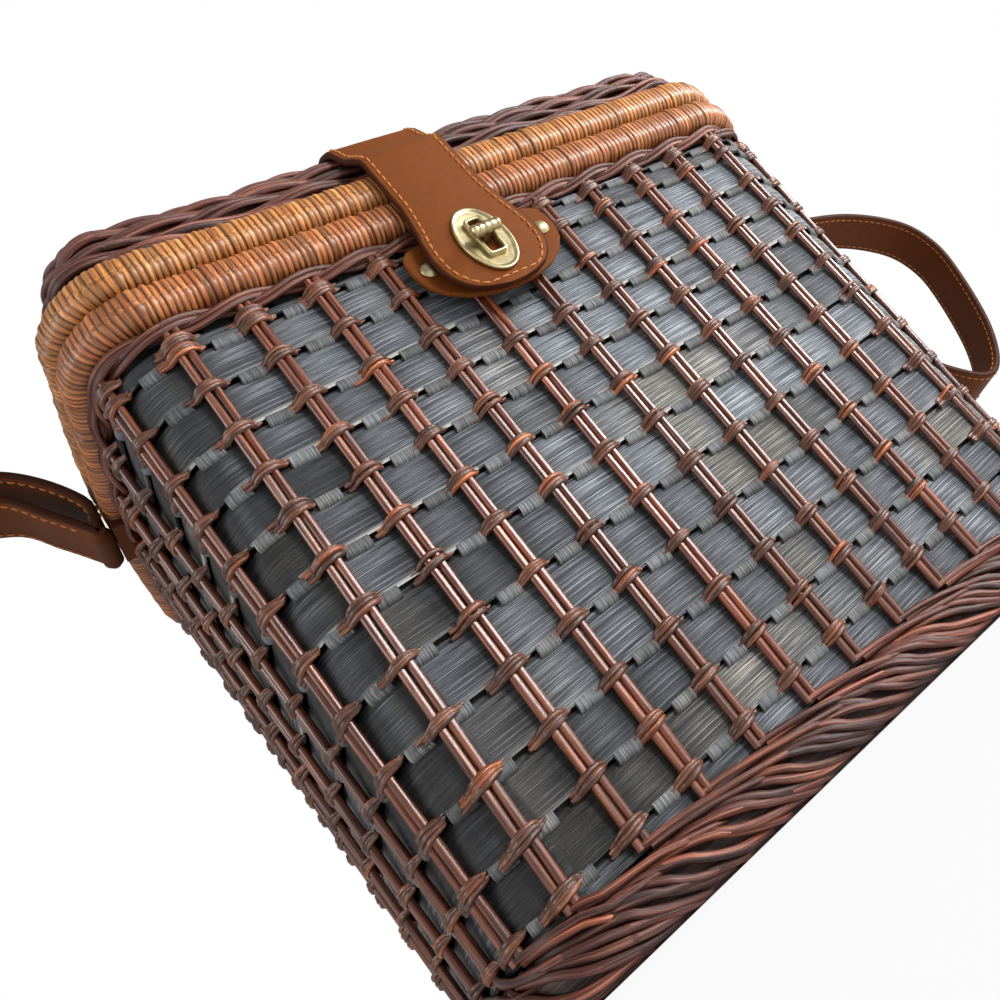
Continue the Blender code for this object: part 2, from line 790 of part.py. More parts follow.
# Clasp: the backing lies on the rods, the base on the backing, and the tongue on the base
clasp_wall = wall_size(backing_bottom + backing_height)[1]
backing_y = -(clasp_wall + rod_reach + touch_gap)
base_y = backing_y - backing_thickness - touch_gap
tongue_y = base_y - base_thickness - touch_gap - leather_thickness / 2.0
plate_y = tongue_y - leather_thickness / 2.0 - touch_gap
frame_y = plate_y - plate_thickness - touch_gap
barrel_y = frame_y - frame_thickness - barrel_clearance - barrel_radius
tongue_pivot = Vector((clasp_x, tongue_y, lid_rim_top + tongue_pivot_rise))

# Backing: round upper corners and a bowed lower edge
backing_outline = []
for side, quarter in ((1.0, 0.0), (-1.0, 1.0)):
    for step in range(4):
        angle = (quarter + step / 3.0) * math.pi / 2.0
        x = side * (backing_half_width - backing_corner) + backing_corner * math.cos(angle)
        z = backing_height - backing_corner + backing_corner * math.sin(angle)
        backing_outline.append((x, z))
bow_height = backing_height * backing_bow_share
for step in range(11):
    angle = math.pi + math.pi * step / 10.0
    z = bow_height * (1.0 + math.sin(angle))
    backing_outline.append((backing_half_width * math.cos(angle), z))
backing = flat_plate("clasp_backing", [backing_outline], backing_thickness)
backing_place = (clasp_x + backing_shift, backing_y, backing_bottom)
put("clasp_backing", moved(backing, backing_place), leather_colour, 0.5)


def dome(name, radius, rise):
    """Domed stud head about the Y axis, its flat back on y = 0."""
    profile_shares = ((0.45, 0.88), (0.8, 0.55), (1.0, 0.15), (1.0, 0.0))
    steps = 12
    loops = []
    for reach, height in profile_shares:
        loops.append([
            Vector((
                radius * reach * math.cos(math.tau * step / steps),
                -rise * height,
                radius * reach * math.sin(math.tau * step / steps),
            ))
            for step in range(steps)
        ])
    return lofted(name, loops, closed=False)


stud = dome("stud", stud_radius, stud_rise)
stud_y = backing_y - backing_thickness - touch_gap
for side, sign in (("left", -1.0), ("right", 1.0)):
    stud_place = (clasp_x + backing_shift + sign * stud_spread, stud_y, stud_height)
    put(f"backing_stud_{side}", moved(stud, stud_place), brass_colour, 0.3, 1.0)

base = flat_plate("lock_base", [ellipse(base_half_width, base_half_height, 16)], base_thickness)
put("lock_base", moved(base, (clasp_x, base_y, lock_height)), brass_colour, 0.3, 1.0)

# Tongue root: from the dome of the lid over the skirt to the bend above the lid's rim
lift = touch_gap + leather_thickness / 2.0
root_line = [
    Vector((clasp_x, -(rim_half_depth + offset), z))
    for offset, z in [dome_points[1]] + skirt_outer[:0:-1]
]
root_centres = []
for index, point in enumerate(root_line):
    before = root_line[max(index - 1, 0)]
    after = root_line[min(index + 1, len(root_line) - 1)]
    run = (after - before).normalized()
    root_centres.append(point + Vector((0.0, run.z, -run.y)) * lift)
pivot_run = (tongue_pivot - root_centres[-1]).normalized()
root_end = tongue_pivot - pivot_run * (leather_thickness / 2.0 + tongue_bend_gap)
root_centres += [root_end - pivot_run * tongue_skive, root_end]
root_normals = []
for index in range(len(root_centres)):
    before = root_centres[max(index - 1, 0)]
    after = root_centres[min(index + 1, len(root_centres) - 1)]
    run = (after - before).normalized()
    root_normals.append(Vector((0.0, run.z, -run.y)))
tongue_neck = tongue_half_width * tongue_neck_share
count = len(root_centres)
root = band(
    "tongue_root", root_centres, root_normals, [tongue_neck] * count,
    [leather_thickness] * (count - 1) + [leather_thickness * skive_share],
    [Vector((1.0, 0.0, 0.0))] * count,
)
put("tongue_root", root, leather_colour, 0.5, pivot=lid_pivot)
root_rivet = dome("tongue_rivet", rivet_radius, rivet_rise)
root_rivet.transform(Matrix.Rotation(math.radians(-90.0), 4, "X"))
rivet_lift = Vector((0.0, 0.0, leather_thickness / 2.0 + 3.0 * touch_gap))
rivet_mid = root_centres[0].lerp(root_centres[1], rivet_along_share) + rivet_lift
for side, sign in (("left", -1.0), ("right", 1.0)):
    rivet_place = rivet_mid + Vector((sign * tongue_neck * rivet_across_share, 0.0, 0.0))
    rivet_head = moved(root_rivet, rivet_place)
    put(f"tongue_rivet_{side}", rivet_head, brass_colour, 0.3, 1.0, pivot=lid_pivot)

# Tongue flap: hangs from the bend; each station is (share down, share of width, thickness)
flap_length = tongue_pivot.z - tongue_tip_height
flap_outline_shares = (
    (-0.011, 0.80, skive_share), (0.0, 0.80, 1.0), (0.38, 0.81, 1.0), (0.55, 0.91, 1.0), (0.69, 1.0, 1.0),
    (0.8, 0.98, 1.0), (0.88, 0.86, 1.0), (0.94, 0.67, 1.0), (0.98, 0.42, 1.0), (1.0, 0.16, 1.0),
)
flap_count = len(flap_outline_shares)
down = Vector((0.0, 0.0, -1.0))
flap = band(
    "tongue_flap",
    [tongue_pivot + down * share * flap_length for share, width, thick in flap_outline_shares],
    [Vector((0.0, -1.0, 0.0))] * flap_count,
    [tongue_half_width * width for share, width, thick in flap_outline_shares],
    [leather_thickness * thick for share, width, thick in flap_outline_shares],
    [Vector((1.0, 0.0, 0.0))] * flap_count,
)
put("tongue_flap", flap, leather_colour, 0.5, pivot=tongue_pivot)

# Turn lock on the tongue: oval plate, raised slot frame and the knob
slot = rectangle(slot_half_width, slot_half_height)
oval = ellipse(plate_half_width, plate_half_height, 24)
plate = flat_plate("slot_plate", [oval, slot[::-1]], plate_thickness)
frame_outer = rectangle(slot_half_width + frame_wall, slot_half_height + frame_wall)
frame = flat_plate("slot_frame", [frame_outer, slot[::-1]], frame_thickness)
for name, mesh, y in (("slot_plate", plate, plate_y), ("slot_frame", frame, frame_y)):
    lock_part = moved(mesh, (clasp_x, y, lock_height))
    put(name, lock_part, brass_colour, 0.28, 1.0, pivot=tongue_pivot)

lock_axis = Vector((clasp_x, 0.0, lock_height))
knob_centre = lock_axis + Vector((0.0, barrel_y, 0.0))
stem_start = lock_axis + Vector((0.0, plate_y, 0.0))
bm = bmesh.new()
add_bar(bm, stem_start, knob_centre, Vector((1.0, 0.0, 0.0)), stem_size, stem_size)
barrel = moved(rod_mesh("barrel", barrel_radius, barrel_length, 12, "X"), knob_centre)
knob = boolean(finish_mesh("turn_knob", bm), [barrel], "UNION")
put("turn_knob", knob, brass_colour, 0.28, 1.0, pivot=knob_centre)


def smooth_path(points, steps):
    """Points on a smooth curve (Catmull-Rom) through a row of points."""
    padded = [points[0] * 2.0 - points[1]] + points + [points[-1] * 2.0 - points[-2]]
    path = []
    for index in range(1, len(padded) - 2):
        a, b, c, d = padded[index - 1:index + 3]
        for step in range(steps):
            t = step / steps
            even = (c - a) * t + (a * 2.0 - b * 5.0 + c * 4.0 - d) * t * t
            path.append(b + (even + (b * 3.0 - a - c * 3.0 + d) * t * t * t) * 0.5)
    path.append(points[-1].copy())
    return path


def strap_band(name, centres):
    """Leather band along a path in a plane of constant y, its width along y."""
    normals = []
    for index in range(len(centres)):
        before = centres[max(index - 1, 0)]
        after = centres[min(index + 1, len(centres) - 1)]
        run = (after - before).normalized()
        normals.append(Vector((run.z, 0.0, -run.x)))
    count = len(centres)
    return band(
        name, centres, normals, [strap_width / 2.0] * count, [strap_thickness] * count,
        [Vector((0.0, 1.0, 0.0))] * count,
    )


def strap_root(side_x):
    """Band from inside the lining up, over its bend and out under the body rim."""
    foot_z = root_height - root_drop
    bend_z = root_height - root_bend_radius
    path = [
        Vector((wall_size(z)[0] + side_bow + root_inside, 0.0, z)) for z in (foot_z, bend_z)
    ]
    bend = path[-1] + Vector((root_bend_radius, 0.0, 0.0))
    for angle in (math.radians(45.0), math.radians(90.0)):
        turn = Vector((-math.cos(angle), 0.0, math.sin(angle)))
        path.append(bend + turn * root_bend_radius)
    path.append(Vector((head_x - strap_head_radius - touch_gap, 0.0, root_height)))
    return [Vector((side_x * point.x, point.y, point.z)) for point in path]


def strap_loop(name, head, side_x, course_shares):
    """Closed leather loop: both ends of the band meet in a round head on the pivot."""
    points = [
        head + Vector((side_x * out, 0.0, up)) * strap_reach for out, up in course_shares
    ]
    strip = strap_band(name, smooth_path([head] + points + [head], band_steps))
    end = rod_mesh(name, strap_head_radius, strap_width - 2.0 * touch_gap, 12, "Y")
    return boolean(strip, [moved(end, head)], "UNION", crosses_itself=True)


# Straps: root, its rivet inside the basket, and the loop
for side, side_x, course_shares in (
    ("left", -1.0, left_loop_shares), ("right", 1.0, right_loop_shares)
):
    root_path = strap_root(side_x)
    put(f"strap_root_{side}", strap_band(f"strap_root_{side}", root_path), leather_colour, 0.5)
    rivet = dome("strap_rivet", rivet_radius, rivet_rise)
    rivet.transform(Matrix.Rotation(-side_x * math.radians(90.0), 4, "Z"))
    rivet_off = Vector((side_x * (strap_thickness / 2.0 + touch_gap), 0.0, 0.0))
    rivet_place = root_path[0].lerp(root_path[1], root_rivet_share) - rivet_off
    put(f"strap_rivet_{side}", moved(rivet, rivet_place), brass_colour, 0.3, 1.0)
    head = Vector((side_x * head_x, 0.0, root_height))
    loop = strap_loop(f"strap_loop_{side}", head, side_x, course_shares)
    put(f"strap_loop_{side}", loop, leather_colour, 0.5, pivot=head)
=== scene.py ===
"""Picnic basket: chip hoops tied to willow rods, a plaited foot, two cane-wound rims,
a woven willow lid, a stitched leather tongue with a turn lock, and two leather side straps."""

import math

import bmesh
import bpy
import numpy as np
from mathutils import Matrix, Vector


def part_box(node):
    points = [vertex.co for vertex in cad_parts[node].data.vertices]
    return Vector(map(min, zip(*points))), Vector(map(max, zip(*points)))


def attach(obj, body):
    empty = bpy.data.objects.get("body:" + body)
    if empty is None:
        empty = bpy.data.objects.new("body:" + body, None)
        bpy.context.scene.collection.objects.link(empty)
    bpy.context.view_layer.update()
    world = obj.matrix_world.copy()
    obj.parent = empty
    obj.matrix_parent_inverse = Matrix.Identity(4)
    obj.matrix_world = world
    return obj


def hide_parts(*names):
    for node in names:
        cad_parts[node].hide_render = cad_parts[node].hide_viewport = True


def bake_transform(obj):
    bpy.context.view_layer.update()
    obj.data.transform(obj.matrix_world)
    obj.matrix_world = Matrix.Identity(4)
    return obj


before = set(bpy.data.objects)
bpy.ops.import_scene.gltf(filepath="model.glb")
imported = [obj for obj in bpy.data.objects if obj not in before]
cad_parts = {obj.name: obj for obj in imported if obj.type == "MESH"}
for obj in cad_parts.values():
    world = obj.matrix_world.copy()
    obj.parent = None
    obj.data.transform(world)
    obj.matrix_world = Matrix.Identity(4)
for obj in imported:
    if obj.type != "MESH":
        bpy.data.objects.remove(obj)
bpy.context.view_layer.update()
mm = 0.001

# View and light: the basket is seen from low in front of its left corner, on a plain pale
# floor, in soft even light; the ground behind it is white.
lens_px, centre_x_px, centre_y_px, frame_px = 960.0, 715.6, 386.1, 1000.0
sensor_width_mm = 36.0
eye = (-0.17284, -0.38136, 0.00542)
to_right = np.array((0.72465, -0.23796, -0.64672))
to_top = np.array((0.41086, -0.60425, 0.68270))
to_front = np.array((0.55324, 0.76043, 0.34011))


def add_object(name, data):
    """New object of the scene that shows a mesh, a camera or a lamp."""
    thing = bpy.data.objects.new(name, data)
    bpy.context.collection.objects.link(thing)
    return thing


def stand_at(thing, right, up, back, place):
    """Turns a camera or lamp so that its own axes lie along three directions, and places it."""
    turned = Matrix([list(direction) for direction in (right, up, back)]).transposed().to_4x4()
    turned.translation = place
    thing.matrix_world = turned


camera = add_object("camera", bpy.data.cameras.new("camera"))
camera.data.sensor_width = sensor_width_mm
camera.data.lens = sensor_width_mm * lens_px / frame_px
camera.data.shift_x = (frame_px / 2.0 - centre_x_px) / frame_px
camera.data.shift_y = (centre_y_px - frame_px / 2.0) / frame_px
camera.data.clip_start = 5.0 * mm
stand_at(camera, to_right, to_top, -to_front, eye)
bpy.context.scene.camera = camera
bpy.context.scene.view_settings.view_transform = "Standard"


def add_node(tree, kind, values=None, feeds=None, **options):
    """New shader node: options are its settings, values its fixed inputs, and feeds the sockets
    that lead into its inputs, each by the input's name or number."""
    node = tree.nodes.new(kind)
    for key, option in options.items():
        setattr(node, key, option)
    for key, value in (values or {}).items():
        node.inputs[key].default_value = value
    for key, socket in (feeds or {}).items():
        tree.links.new(socket, node.inputs[key])
    return node


def white_to_the_eye(tree, seen, lit):
    """Shader socket that is 'seen' for camera and glass rays and 'lit' for all others."""
    rays = add_node(tree, "ShaderNodeLightPath").outputs
    either = add_node(
        tree, "ShaderNodeMath", None, {0: rays["Is Camera Ray"], 1: rays["Is Transmission Ray"]},
        operation="MAXIMUM",
    )
    return add_node(tree, "ShaderNodeMixShader", None, {0: either.outputs[0], 1: lit, 2: seen}).outputs[0]


white = (1.0, 1.0, 1.0, 1.0)
sky_strength, floor_grey, floor_white_share, floor_reach = 0.36, 0.86, 0.78, 60.0
world = bpy.data.worlds.new("studio")
world.use_nodes = True
bpy.context.scene.world = world
sky = world.node_tree
soft_sky = sky.nodes["Background"]
soft_sky.inputs["Color"].default_value = white
soft_sky.inputs["Strength"].default_value = sky_strength
plain_sky = add_node(sky, "ShaderNodeBackground", {"Color": white, "Strength": 1.0})
sky.links.new(
    white_to_the_eye(sky, plain_sky.outputs[0], soft_sky.outputs[0]),
    sky.nodes["World Output"].inputs["Surface"],
)

floor_corners = [(-1.0, -1.0, 0.0), (1.0, -1.0, 0.0), (1.0, 1.0, 0.0), (-1.0, 1.0, 0.0)]
floor_mesh = bpy.data.meshes.new("floor")
floor_mesh.from_pydata((np.array(floor_corners) * floor_reach).tolist(), [], [(0, 1, 2, 3)])
floor_paint = bpy.data.materials.new("floor_paint")
floor_paint.use_nodes = True
coat = floor_paint.node_tree
painted = coat.nodes["Principled BSDF"]
painted.inputs["Base Color"].default_value = (floor_grey, floor_grey, floor_grey, 1.0)
painted.inputs["Roughness"].default_value = 0.9
glow = add_node(coat, "ShaderNodeEmission", {"Color": white, "Strength": 1.0})
keep_shadow = add_node(
    coat, "ShaderNodeMixShader", {0: floor_white_share}, {1: painted.outputs[0], 2: glow.outputs[0]}
)
coat.links.new(
    white_to_the_eye(coat, keep_shadow.outputs[0], painted.outputs[0]),
    coat.nodes["Material Output"].inputs["Surface"],
)
floor_mesh.materials.append(floor_paint)
floor = add_object("floor", floor_mesh)


def soft_lamp(name, place, size, watts):
    """Square area lamp at a place, turned to the middle of the basket."""
    lamp = add_object(name, bpy.data.lights.new(name, "AREA"))
    lamp.data.size = size
    lamp.data.energy = watts
    back = np.array(place) - np.array(lamp_aim)
    back /= np.linalg.norm(back)
    side = np.cross((0.0, 0.0, 1.0), back)
    side /= np.linalg.norm(side)
    stand_at(lamp, side, np.cross(back, side), back, place)


lamp_aim = (0.0, 0.0, 0.15)
soft_lamp("lamp_front", (0.9, -1.6, 0.5), 0.5, 29.0)
soft_lamp("lamp_right", (1.6, -0.9, 0.7), 0.55, 28.0)
soft_lamp("lamp_left", (-1.7, -0.3, 0.8), 0.7, 11.0)

# Chip hoops: thirteen rows of thin wood strip, stained slate grey, laid like shingles so that
# each lower edge stands proud of the next row; they bulge a little between the rods.
rim_half_width, foot_half_width = 144.0 * mm, 130.0 * mm
rim_half_depth, foot_half_depth = 105.0 * mm, 91.0 * mm
side_bow, corner_radius, least_corner = 5.0 * mm, 22.0 * mm, 8.0 * mm
wall_top, border_height = 238.5 * mm, 20.0 * mm
hoop_height_shares = (0.0, 0.99, 1.13, 1.0, 1.02, 1.13, 1.14, 1.23, 1.21, 1.22, 1.12, 1.05, 0.76)
row_tilt_share, least_hoop = 0.058, 2.0 * mm
chip_thickness, chip_lean = 1.4 * mm, 1.6 * mm
rod_pitch_top, rod_pitch_foot, side_rod_pitch = 24.2 * mm, 22.9 * mm, 32.0 * mm
grain_shift, sharp_edge = 0.37, math.radians(65.0)
rng = np.random.default_rng(7)


def half_sizes(z):
    """Half the tub's width and depth at height z: its walls lean out from foot to rim."""
    share = np.clip(z / wall_top, 0.0, 1.0)
    return (foot_half_width + share * (rim_half_width - foot_half_width),
            foot_half_depth + share * (rim_half_depth - foot_half_depth))


def wall_plan(place, offset, z):
    """Rounded rectangle of the tub at height z, grown by offset. place runs from 0 to 8: even
    parts are the front, right, back and left walls, odd parts the round corner after each.
    Each wall also bows out by side_bow * (1 - (y / half depth)^2)^2. Gives points and normals."""
    place, offset, z = np.broadcast_arrays(np.asarray(place, float), offset, z)
    part = np.floor(place).astype(int) % 8
    t = place - np.floor(place)
    half_width, half_depth = half_sizes(z)
    radius = np.maximum(corner_radius + offset, least_corner)
    flat_x, flat_y = half_width + offset - radius, half_depth + offset - radius
    wall, turning = part // 2, part % 2
    facing = (wall - 1.0 + turning * t) * np.pi / 2.0
    run = np.where(turning == 1, 1.0, 2.0 * t - 1.0)
    cos, sin = np.cos(wall * np.pi / 2.0), np.sin(wall * np.pi / 2.0)
    along = np.where(wall % 2 == 0, flat_x, flat_y) * run
    out = np.where(wall % 2 == 0, flat_y, flat_x)
    x = along * cos + out * sin + radius * np.cos(facing)
    y = along * sin - out * cos + radius * np.sin(facing)
    room = np.maximum(1.0 - (y / half_depth) ** 2, 0.0)
    slope = -4.0 * side_bow * room * y / half_depth ** 2
    x = x + np.sign(x) * side_bow * room ** 2
    normal_x, normal_y = np.cos(facing), np.sin(facing) - np.sign(x) * slope * np.cos(facing)
    length = np.hypot(normal_x, normal_y)
    normal = np.stack([normal_x / length, normal_y / length, np.zeros_like(x)], -1)
    return np.stack([x, y, z + np.zeros_like(x)], -1), normal


def place_on_wall(wall, run, z):
    """The place, 0 to 8, of a point run metres from the middle of a wall, round its corners too."""
    half_width, half_depth = half_sizes(z)
    flat = np.where(np.asarray(wall) % 2 == 0, half_width, half_depth) - corner_radius
    past = np.clip((np.abs(run) - flat) / corner_radius, 0.0, 1.0)
    return (2.0 * wall + (np.clip(run / flat, -1.0, 1.0) + 1.0) / 2.0
            + np.sign(run) * np.arcsin(past) * 2.0 / np.pi) % 8.0


def way_along(points):
    """Length from a line's first point to each of its points."""
    return np.concatenate([[0.0], np.cumsum(np.linalg.norm(np.diff(points, axis=0), axis=1))])


def even_places(count, offset=0.0, z=wall_top):
    """Places at equal steps of length round the plan."""
    fine = np.linspace(0.0, 8.0, 4001)
    far = way_along(wall_plan(fine % 8.0, offset, z)[0])
    return np.interp(np.arange(count) / count * far[-1], far, fine)


def line_height(line, x):
    """Height of the line under a row of chips, which rises towards +X except at rim and foot."""
    if line == 0:
        return wall_top + 0.0 * x
    if line == len(hoop_height_shares):
        return border_height + 0.0 * x
    row = (wall_top - border_height) / len(hoop_height_shares)
    level = wall_top - row * sum(hoop_height_shares[:line]) + row_tilt_share * x
    return np.clip(level, border_height + least_hoop, wall_top - least_hoop)


def rod_places(z):
    """Places of the 36 rod pairs: 11 on the front and back, 5 on each side and 4 on the corners."""
    pitch = rod_pitch_foot + np.clip(z / wall_top, 0.0, 1.0) * (rod_pitch_top - rod_pitch_foot)
    eleven, five = np.arange(-5, 6), np.arange(-2, 3)
    corners = np.array([1.0 + 2.0 / 3.0, 3.0 + 1.0 / 3.0, 5.0 + 2.0 / 3.0, 7.0 + 1.0 / 3.0])
    return np.concatenate([
        place_on_wall(0, eleven * pitch, z), place_on_wall(1, five * side_rod_pitch, z),
        place_on_wall(2, eleven * pitch, z), place_on_wall(3, five * side_rod_pitch, z), corners,
    ])


def between_rods(places, z):
    """How far each place lies between its neighbouring rod pairs, from 0 to 1."""
    posts = np.sort(rod_places(z))
    posts = np.concatenate([[posts[-1] - 8.0], posts, [posts[0] + 8.0]])
    return np.interp(places % 8.0, posts, np.arange(len(posts))) % 1.0


def outward_volume(grids, quads):
    """Six times the volume inside the quads about their own middle: positive if they face out."""
    spots = grids.reshape(-1, 3) - grids.reshape(-1, 3).mean(0)
    corners = spots[quads.reshape(-1, 4)]
    thirds = np.einsum("ij,ij->i", corners[:, 0], np.cross(corners[:, 1], corners[:, 2]))
    rest = np.einsum("ij,ij->i", corners[:, 0], np.cross(corners[:, 2], corners[:, 3]))
    return float((thirds + rest).sum())


def skin(name, grids, material, body, slot=None, loop_u=False, loop_v=True, **marks):
    """One mesh of many grids, shape (pieces, along, round, 3). Neighbouring grid points make
    quads; loop_u and loop_v join a grid's last row to its first; open ends get a flat face.
    The UV map holds metres along and round, and each mark is a number kept on the points."""
    grids = np.asarray(grids, float)
    pieces, along, around = grids.shape[:3]
    ids = np.arange(pieces * along * around).reshape(pieces, along, around)
    a, b = (ids, np.roll(ids, -1, 1)) if loop_u else (ids[:, :-1], ids[:, 1:])
    quads = np.stack([a, b, np.roll(b, -1, 2), np.roll(a, -1, 2)], -1)
    if not loop_v:
        quads = quads[:, :, :-1]
    faces = quads.reshape(-1, 4).tolist()
    if not loop_u and loop_v:
        faces += ids[:, 0].tolist() + ids[:, -1, ::-1].tolist()
    mesh = bpy.data.meshes.new(name)
    mesh.from_pydata(grids.reshape(-1, 3).tolist(), [], faces)
    run = np.linalg.norm(np.diff(grids, axis=1, prepend=grids[:, :1]), axis=-1).mean(2).cumsum(1)
    girth = np.linalg.norm(np.diff(grids, axis=2, prepend=grids[:, :, :1]), axis=-1).cumsum(2)
    run = np.broadcast_to(run[..., None], girth.shape)
    shift = np.arange(pieces).reshape(-1, 1, 1) * grain_shift
    metres = np.stack([run + shift, girth + shift], -1).reshape(-1, 2)
    corner = np.empty(len(mesh.loops), np.int32)
    mesh.loops.foreach_get("vertex_index", corner)
    layer = mesh.uv_layers.new(name="grain")
    layer.data.foreach_set("uv", metres[corner].astype(np.float32).ravel())
    for mark, values in marks.items():
        values = np.broadcast_to(np.asarray(values, float), (pieces, along, around))
        kept = mesh.attributes.new(mark, "FLOAT", "POINT")
        kept.data.foreach_set("value", values.astype(np.float32).ravel())
    if outward_volume(grids, quads) < 0.0:
        mesh.flip_normals()
    mesh.shade_smooth()
    mesh.set_sharp_from_angle(angle=sharp_edge)
    mesh.materials.append(material)
    piece = add_object(name, mesh)
    if body:
        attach(piece, body)
    return piece


def blank_finish(name):
    """New material with nodes, its node tree and its main shader."""
    material = bpy.data.materials.new(name)
    material.use_nodes = True
    return material, material.node_tree, material.node_tree.nodes["Principled BSDF"]


def colour_ramp(tree, socket, stops):
    """Socket with the colour that a ramp gives for a number: stops are (number, colour) pairs."""
    ramp = add_node(tree, "ShaderNodeValToRGB", None, {0: socket})
    elements = ramp.color_ramp.elements
    for spot, _ in stops[1:-1]:
        elements.new(spot)
    for element, (spot, colour) in zip(elements, stops):
        element.position = spot
        element.color = (*colour, 1.0)
    return ramp.outputs[0]


def mix_colours(tree, factor, colour, other, way):
    """Socket that mixes a fixed other colour into a colour socket by a factor socket."""
    mix = add_node(
        tree, "ShaderNodeMix", None, {"Factor": factor, "A": colour}, data_type="RGBA", blend_type=way
    )
    mix.inputs["B"].default_value = (*other, 1.0)
    return mix.outputs["Result"]


def roughen(tree, shader, gloss_from, low, high, height, relief):
    """Lets one socket vary the roughness from low to high, and another raise the surface by
    relief metres."""
    rough = add_node(tree, "ShaderNodeMapRange", {"To Min": low, "To Max": high}, {"Value": gloss_from})
    tree.links.new(rough.outputs[0], shader.inputs["Roughness"])
    bump = add_node(tree, "ShaderNodeBump", {"Strength": 1.0, "Distance": relief}, {"Height": height})
    tree.links.new(bump.outputs[0], shader.inputs["Normal"])


lightest, bare_wood = 1.55, (0.68, 0.66, 0.6)


def wood_finish(name, dark, middle, light, odd, grain, gloss, relief, coat=0.0, darkest=0.45):
    """Stained wood: fine streaks along the strip, from noise on the UV stretched by grain (per
    metre along, across), coloured dark to light; 'tone' lightens or darkens a piece and 'odd'
    mixes in another stain; 'pale' bares the white wood; the streaks raise the surface by relief
    metres. A tone of 0 multiplies the colour by darkest, and a tone of 1 by lightest."""
    material, tree, shader = blank_finish(name)
    uv = add_node(tree, "ShaderNodeUVMap", uv_map="grain")
    stretch = add_node(tree, "ShaderNodeMapping", {"Scale": (*grain, 1.0)}, {0: uv.outputs[0]})
    streak = add_node(
        tree, "ShaderNodeTexNoise", {"Scale": 1.0, "Detail": 6.0, "Roughness": 0.68},
        {"Vector": stretch.outputs[0]},
    ).outputs[0]
    odd_mark, tone_mark, pale_mark = (
        add_node(tree, "ShaderNodeAttribute", attribute_name=mark).outputs["Fac"]
        for mark in ("odd", "tone", "pale")
    )
    tint = colour_ramp(tree, streak, ((0.39, dark), (0.51, middle), (0.64, light)))
    other = mix_colours(tree, odd_mark, tint, odd, "MULTIPLY")
    spread = add_node(
        tree, "ShaderNodeMapRange", {"To Min": darkest, "To Max": lightest}, {"Value": tone_mark}
    )
    shade = add_node(
        tree, "ShaderNodeHueSaturation", None, {"Value": spread.outputs[0], "Color": other}
    )
    cut = mix_colours(tree, pale_mark, shade.outputs[0], bare_wood, "MIX")
    tree.links.new(cut, shader.inputs["Base Color"])
    roughen(tree, shader, streak, gloss - 0.1, gloss + 0.12, streak, relief)
    shader.inputs["Coat Weight"].default_value = coat
    shader.inputs["Coat Roughness"].default_value = 0.25
    return material


chip_stain = wood_finish(
    "chip_stain", (0.007, 0.008, 0.011), (0.085, 0.095, 0.115), (0.50, 0.53, 0.57),
    (1.0, 0.88, 0.70), (30.0, 2500.0), 0.46, 0.0006, darkest=0.12,
)
hoop_stations, stain_knots, hoop_count = 900, 45, len(hoop_height_shares)
stations = even_places(hoop_stations)
knots = np.linspace(0.0, 8.0, stain_knots)
across = np.array([0.0, 0.04, 0.2, 0.45, 0.7, 0.92, 1.0, 0.98, 0.5, 0.02])
depth = np.array([0.55, 1.0, 1.0, 1.0, 1.0, 1.0, 0.6, 0.0, 0.0, 0.0])
hoop_gap, edge_wander, belly_reach, middle_height = 0.4 * mm, 0.22 * mm, 0.9 * mm, 120.0 * mm
# Painted shade: the chips' tone is darkened towards the tub's front-left corner, most strongly at it and
# fading out about 71 mm away.
painted_shade_corner, painted_shade_reach, painted_shade_depth = (-125.0 * mm, -85.0 * mm), 62.0 * mm, 0.55
pale_rows, pale_much, pale_little = range(3, 8), 0.9, 0.2
wall_spots, _ = wall_plan(stations, 0.0, middle_height)
from_corner = np.hypot(wall_spots[:, 0] - painted_shade_corner[0], wall_spots[:, 1] - painted_shade_corner[1])
dark = painted_shade_depth * np.clip(1.15 - from_corner / painted_shade_reach, 0.0, 1.0)[:, None]
for number in range(1, hoop_count + 1):
    top = line_height(number - 1, wall_spots[:, 0]) - hoop_gap
    low = line_height(number, wall_spots[:, 0]) + hoop_gap
    wander = rng.normal(0.0, edge_wander, stain_knots - 1)
    low = low + np.interp(stations, knots, np.append(wander, 0.0))
    share = between_rods(stations, float(np.mean((top + low) / 2.0)))
    belly = np.sin(np.pi * share) ** 0.8 * belly_reach
    heights = top[:, None] + (low - top)[:, None] * across[None]
    swell = belly[:, None] * np.sin(np.pi * np.clip(across, 0.0, 0.86))[None]
    offsets = chip_lean * across[None] + chip_thickness * depth[None] + swell
    points, _ = wall_plan(stations[:, None], offsets, heights)
    patch = np.interp(stations, knots, rng.uniform(0.0, 1.0, stain_knots))[:, None]
    stain = np.interp(stations, knots, rng.uniform(0.0, 1.0, stain_knots))[:, None]
    # Painted light and shade: each chip is lighter midway between two rod pairs and darker next to the rods,
    # a little less so towards its lower edge.
    shine = 0.34 * (np.sin(np.pi * share) ** 1.5 - 0.55)[:, None] * (1.0 - 0.3 * across[None])
    paleness = pale_much if number in pale_rows else pale_little
    hoop = skin(
        f"chip_hoop_{number:02d}_strip", points[None], chip_stain, "tub", "chip", loop_u=True,
        tone=np.clip(0.12 + 0.66 * patch + shine - dark, 0.0, 1.0)[None],
        odd=np.clip((stain - 0.62) * 3.2, 0.0, 1.0)[None],
        pale=((across[None] > 0.93) * (patch > 0.45) * paleness)[None],
    )
    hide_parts(f"chip_hoop_{number:02d}")
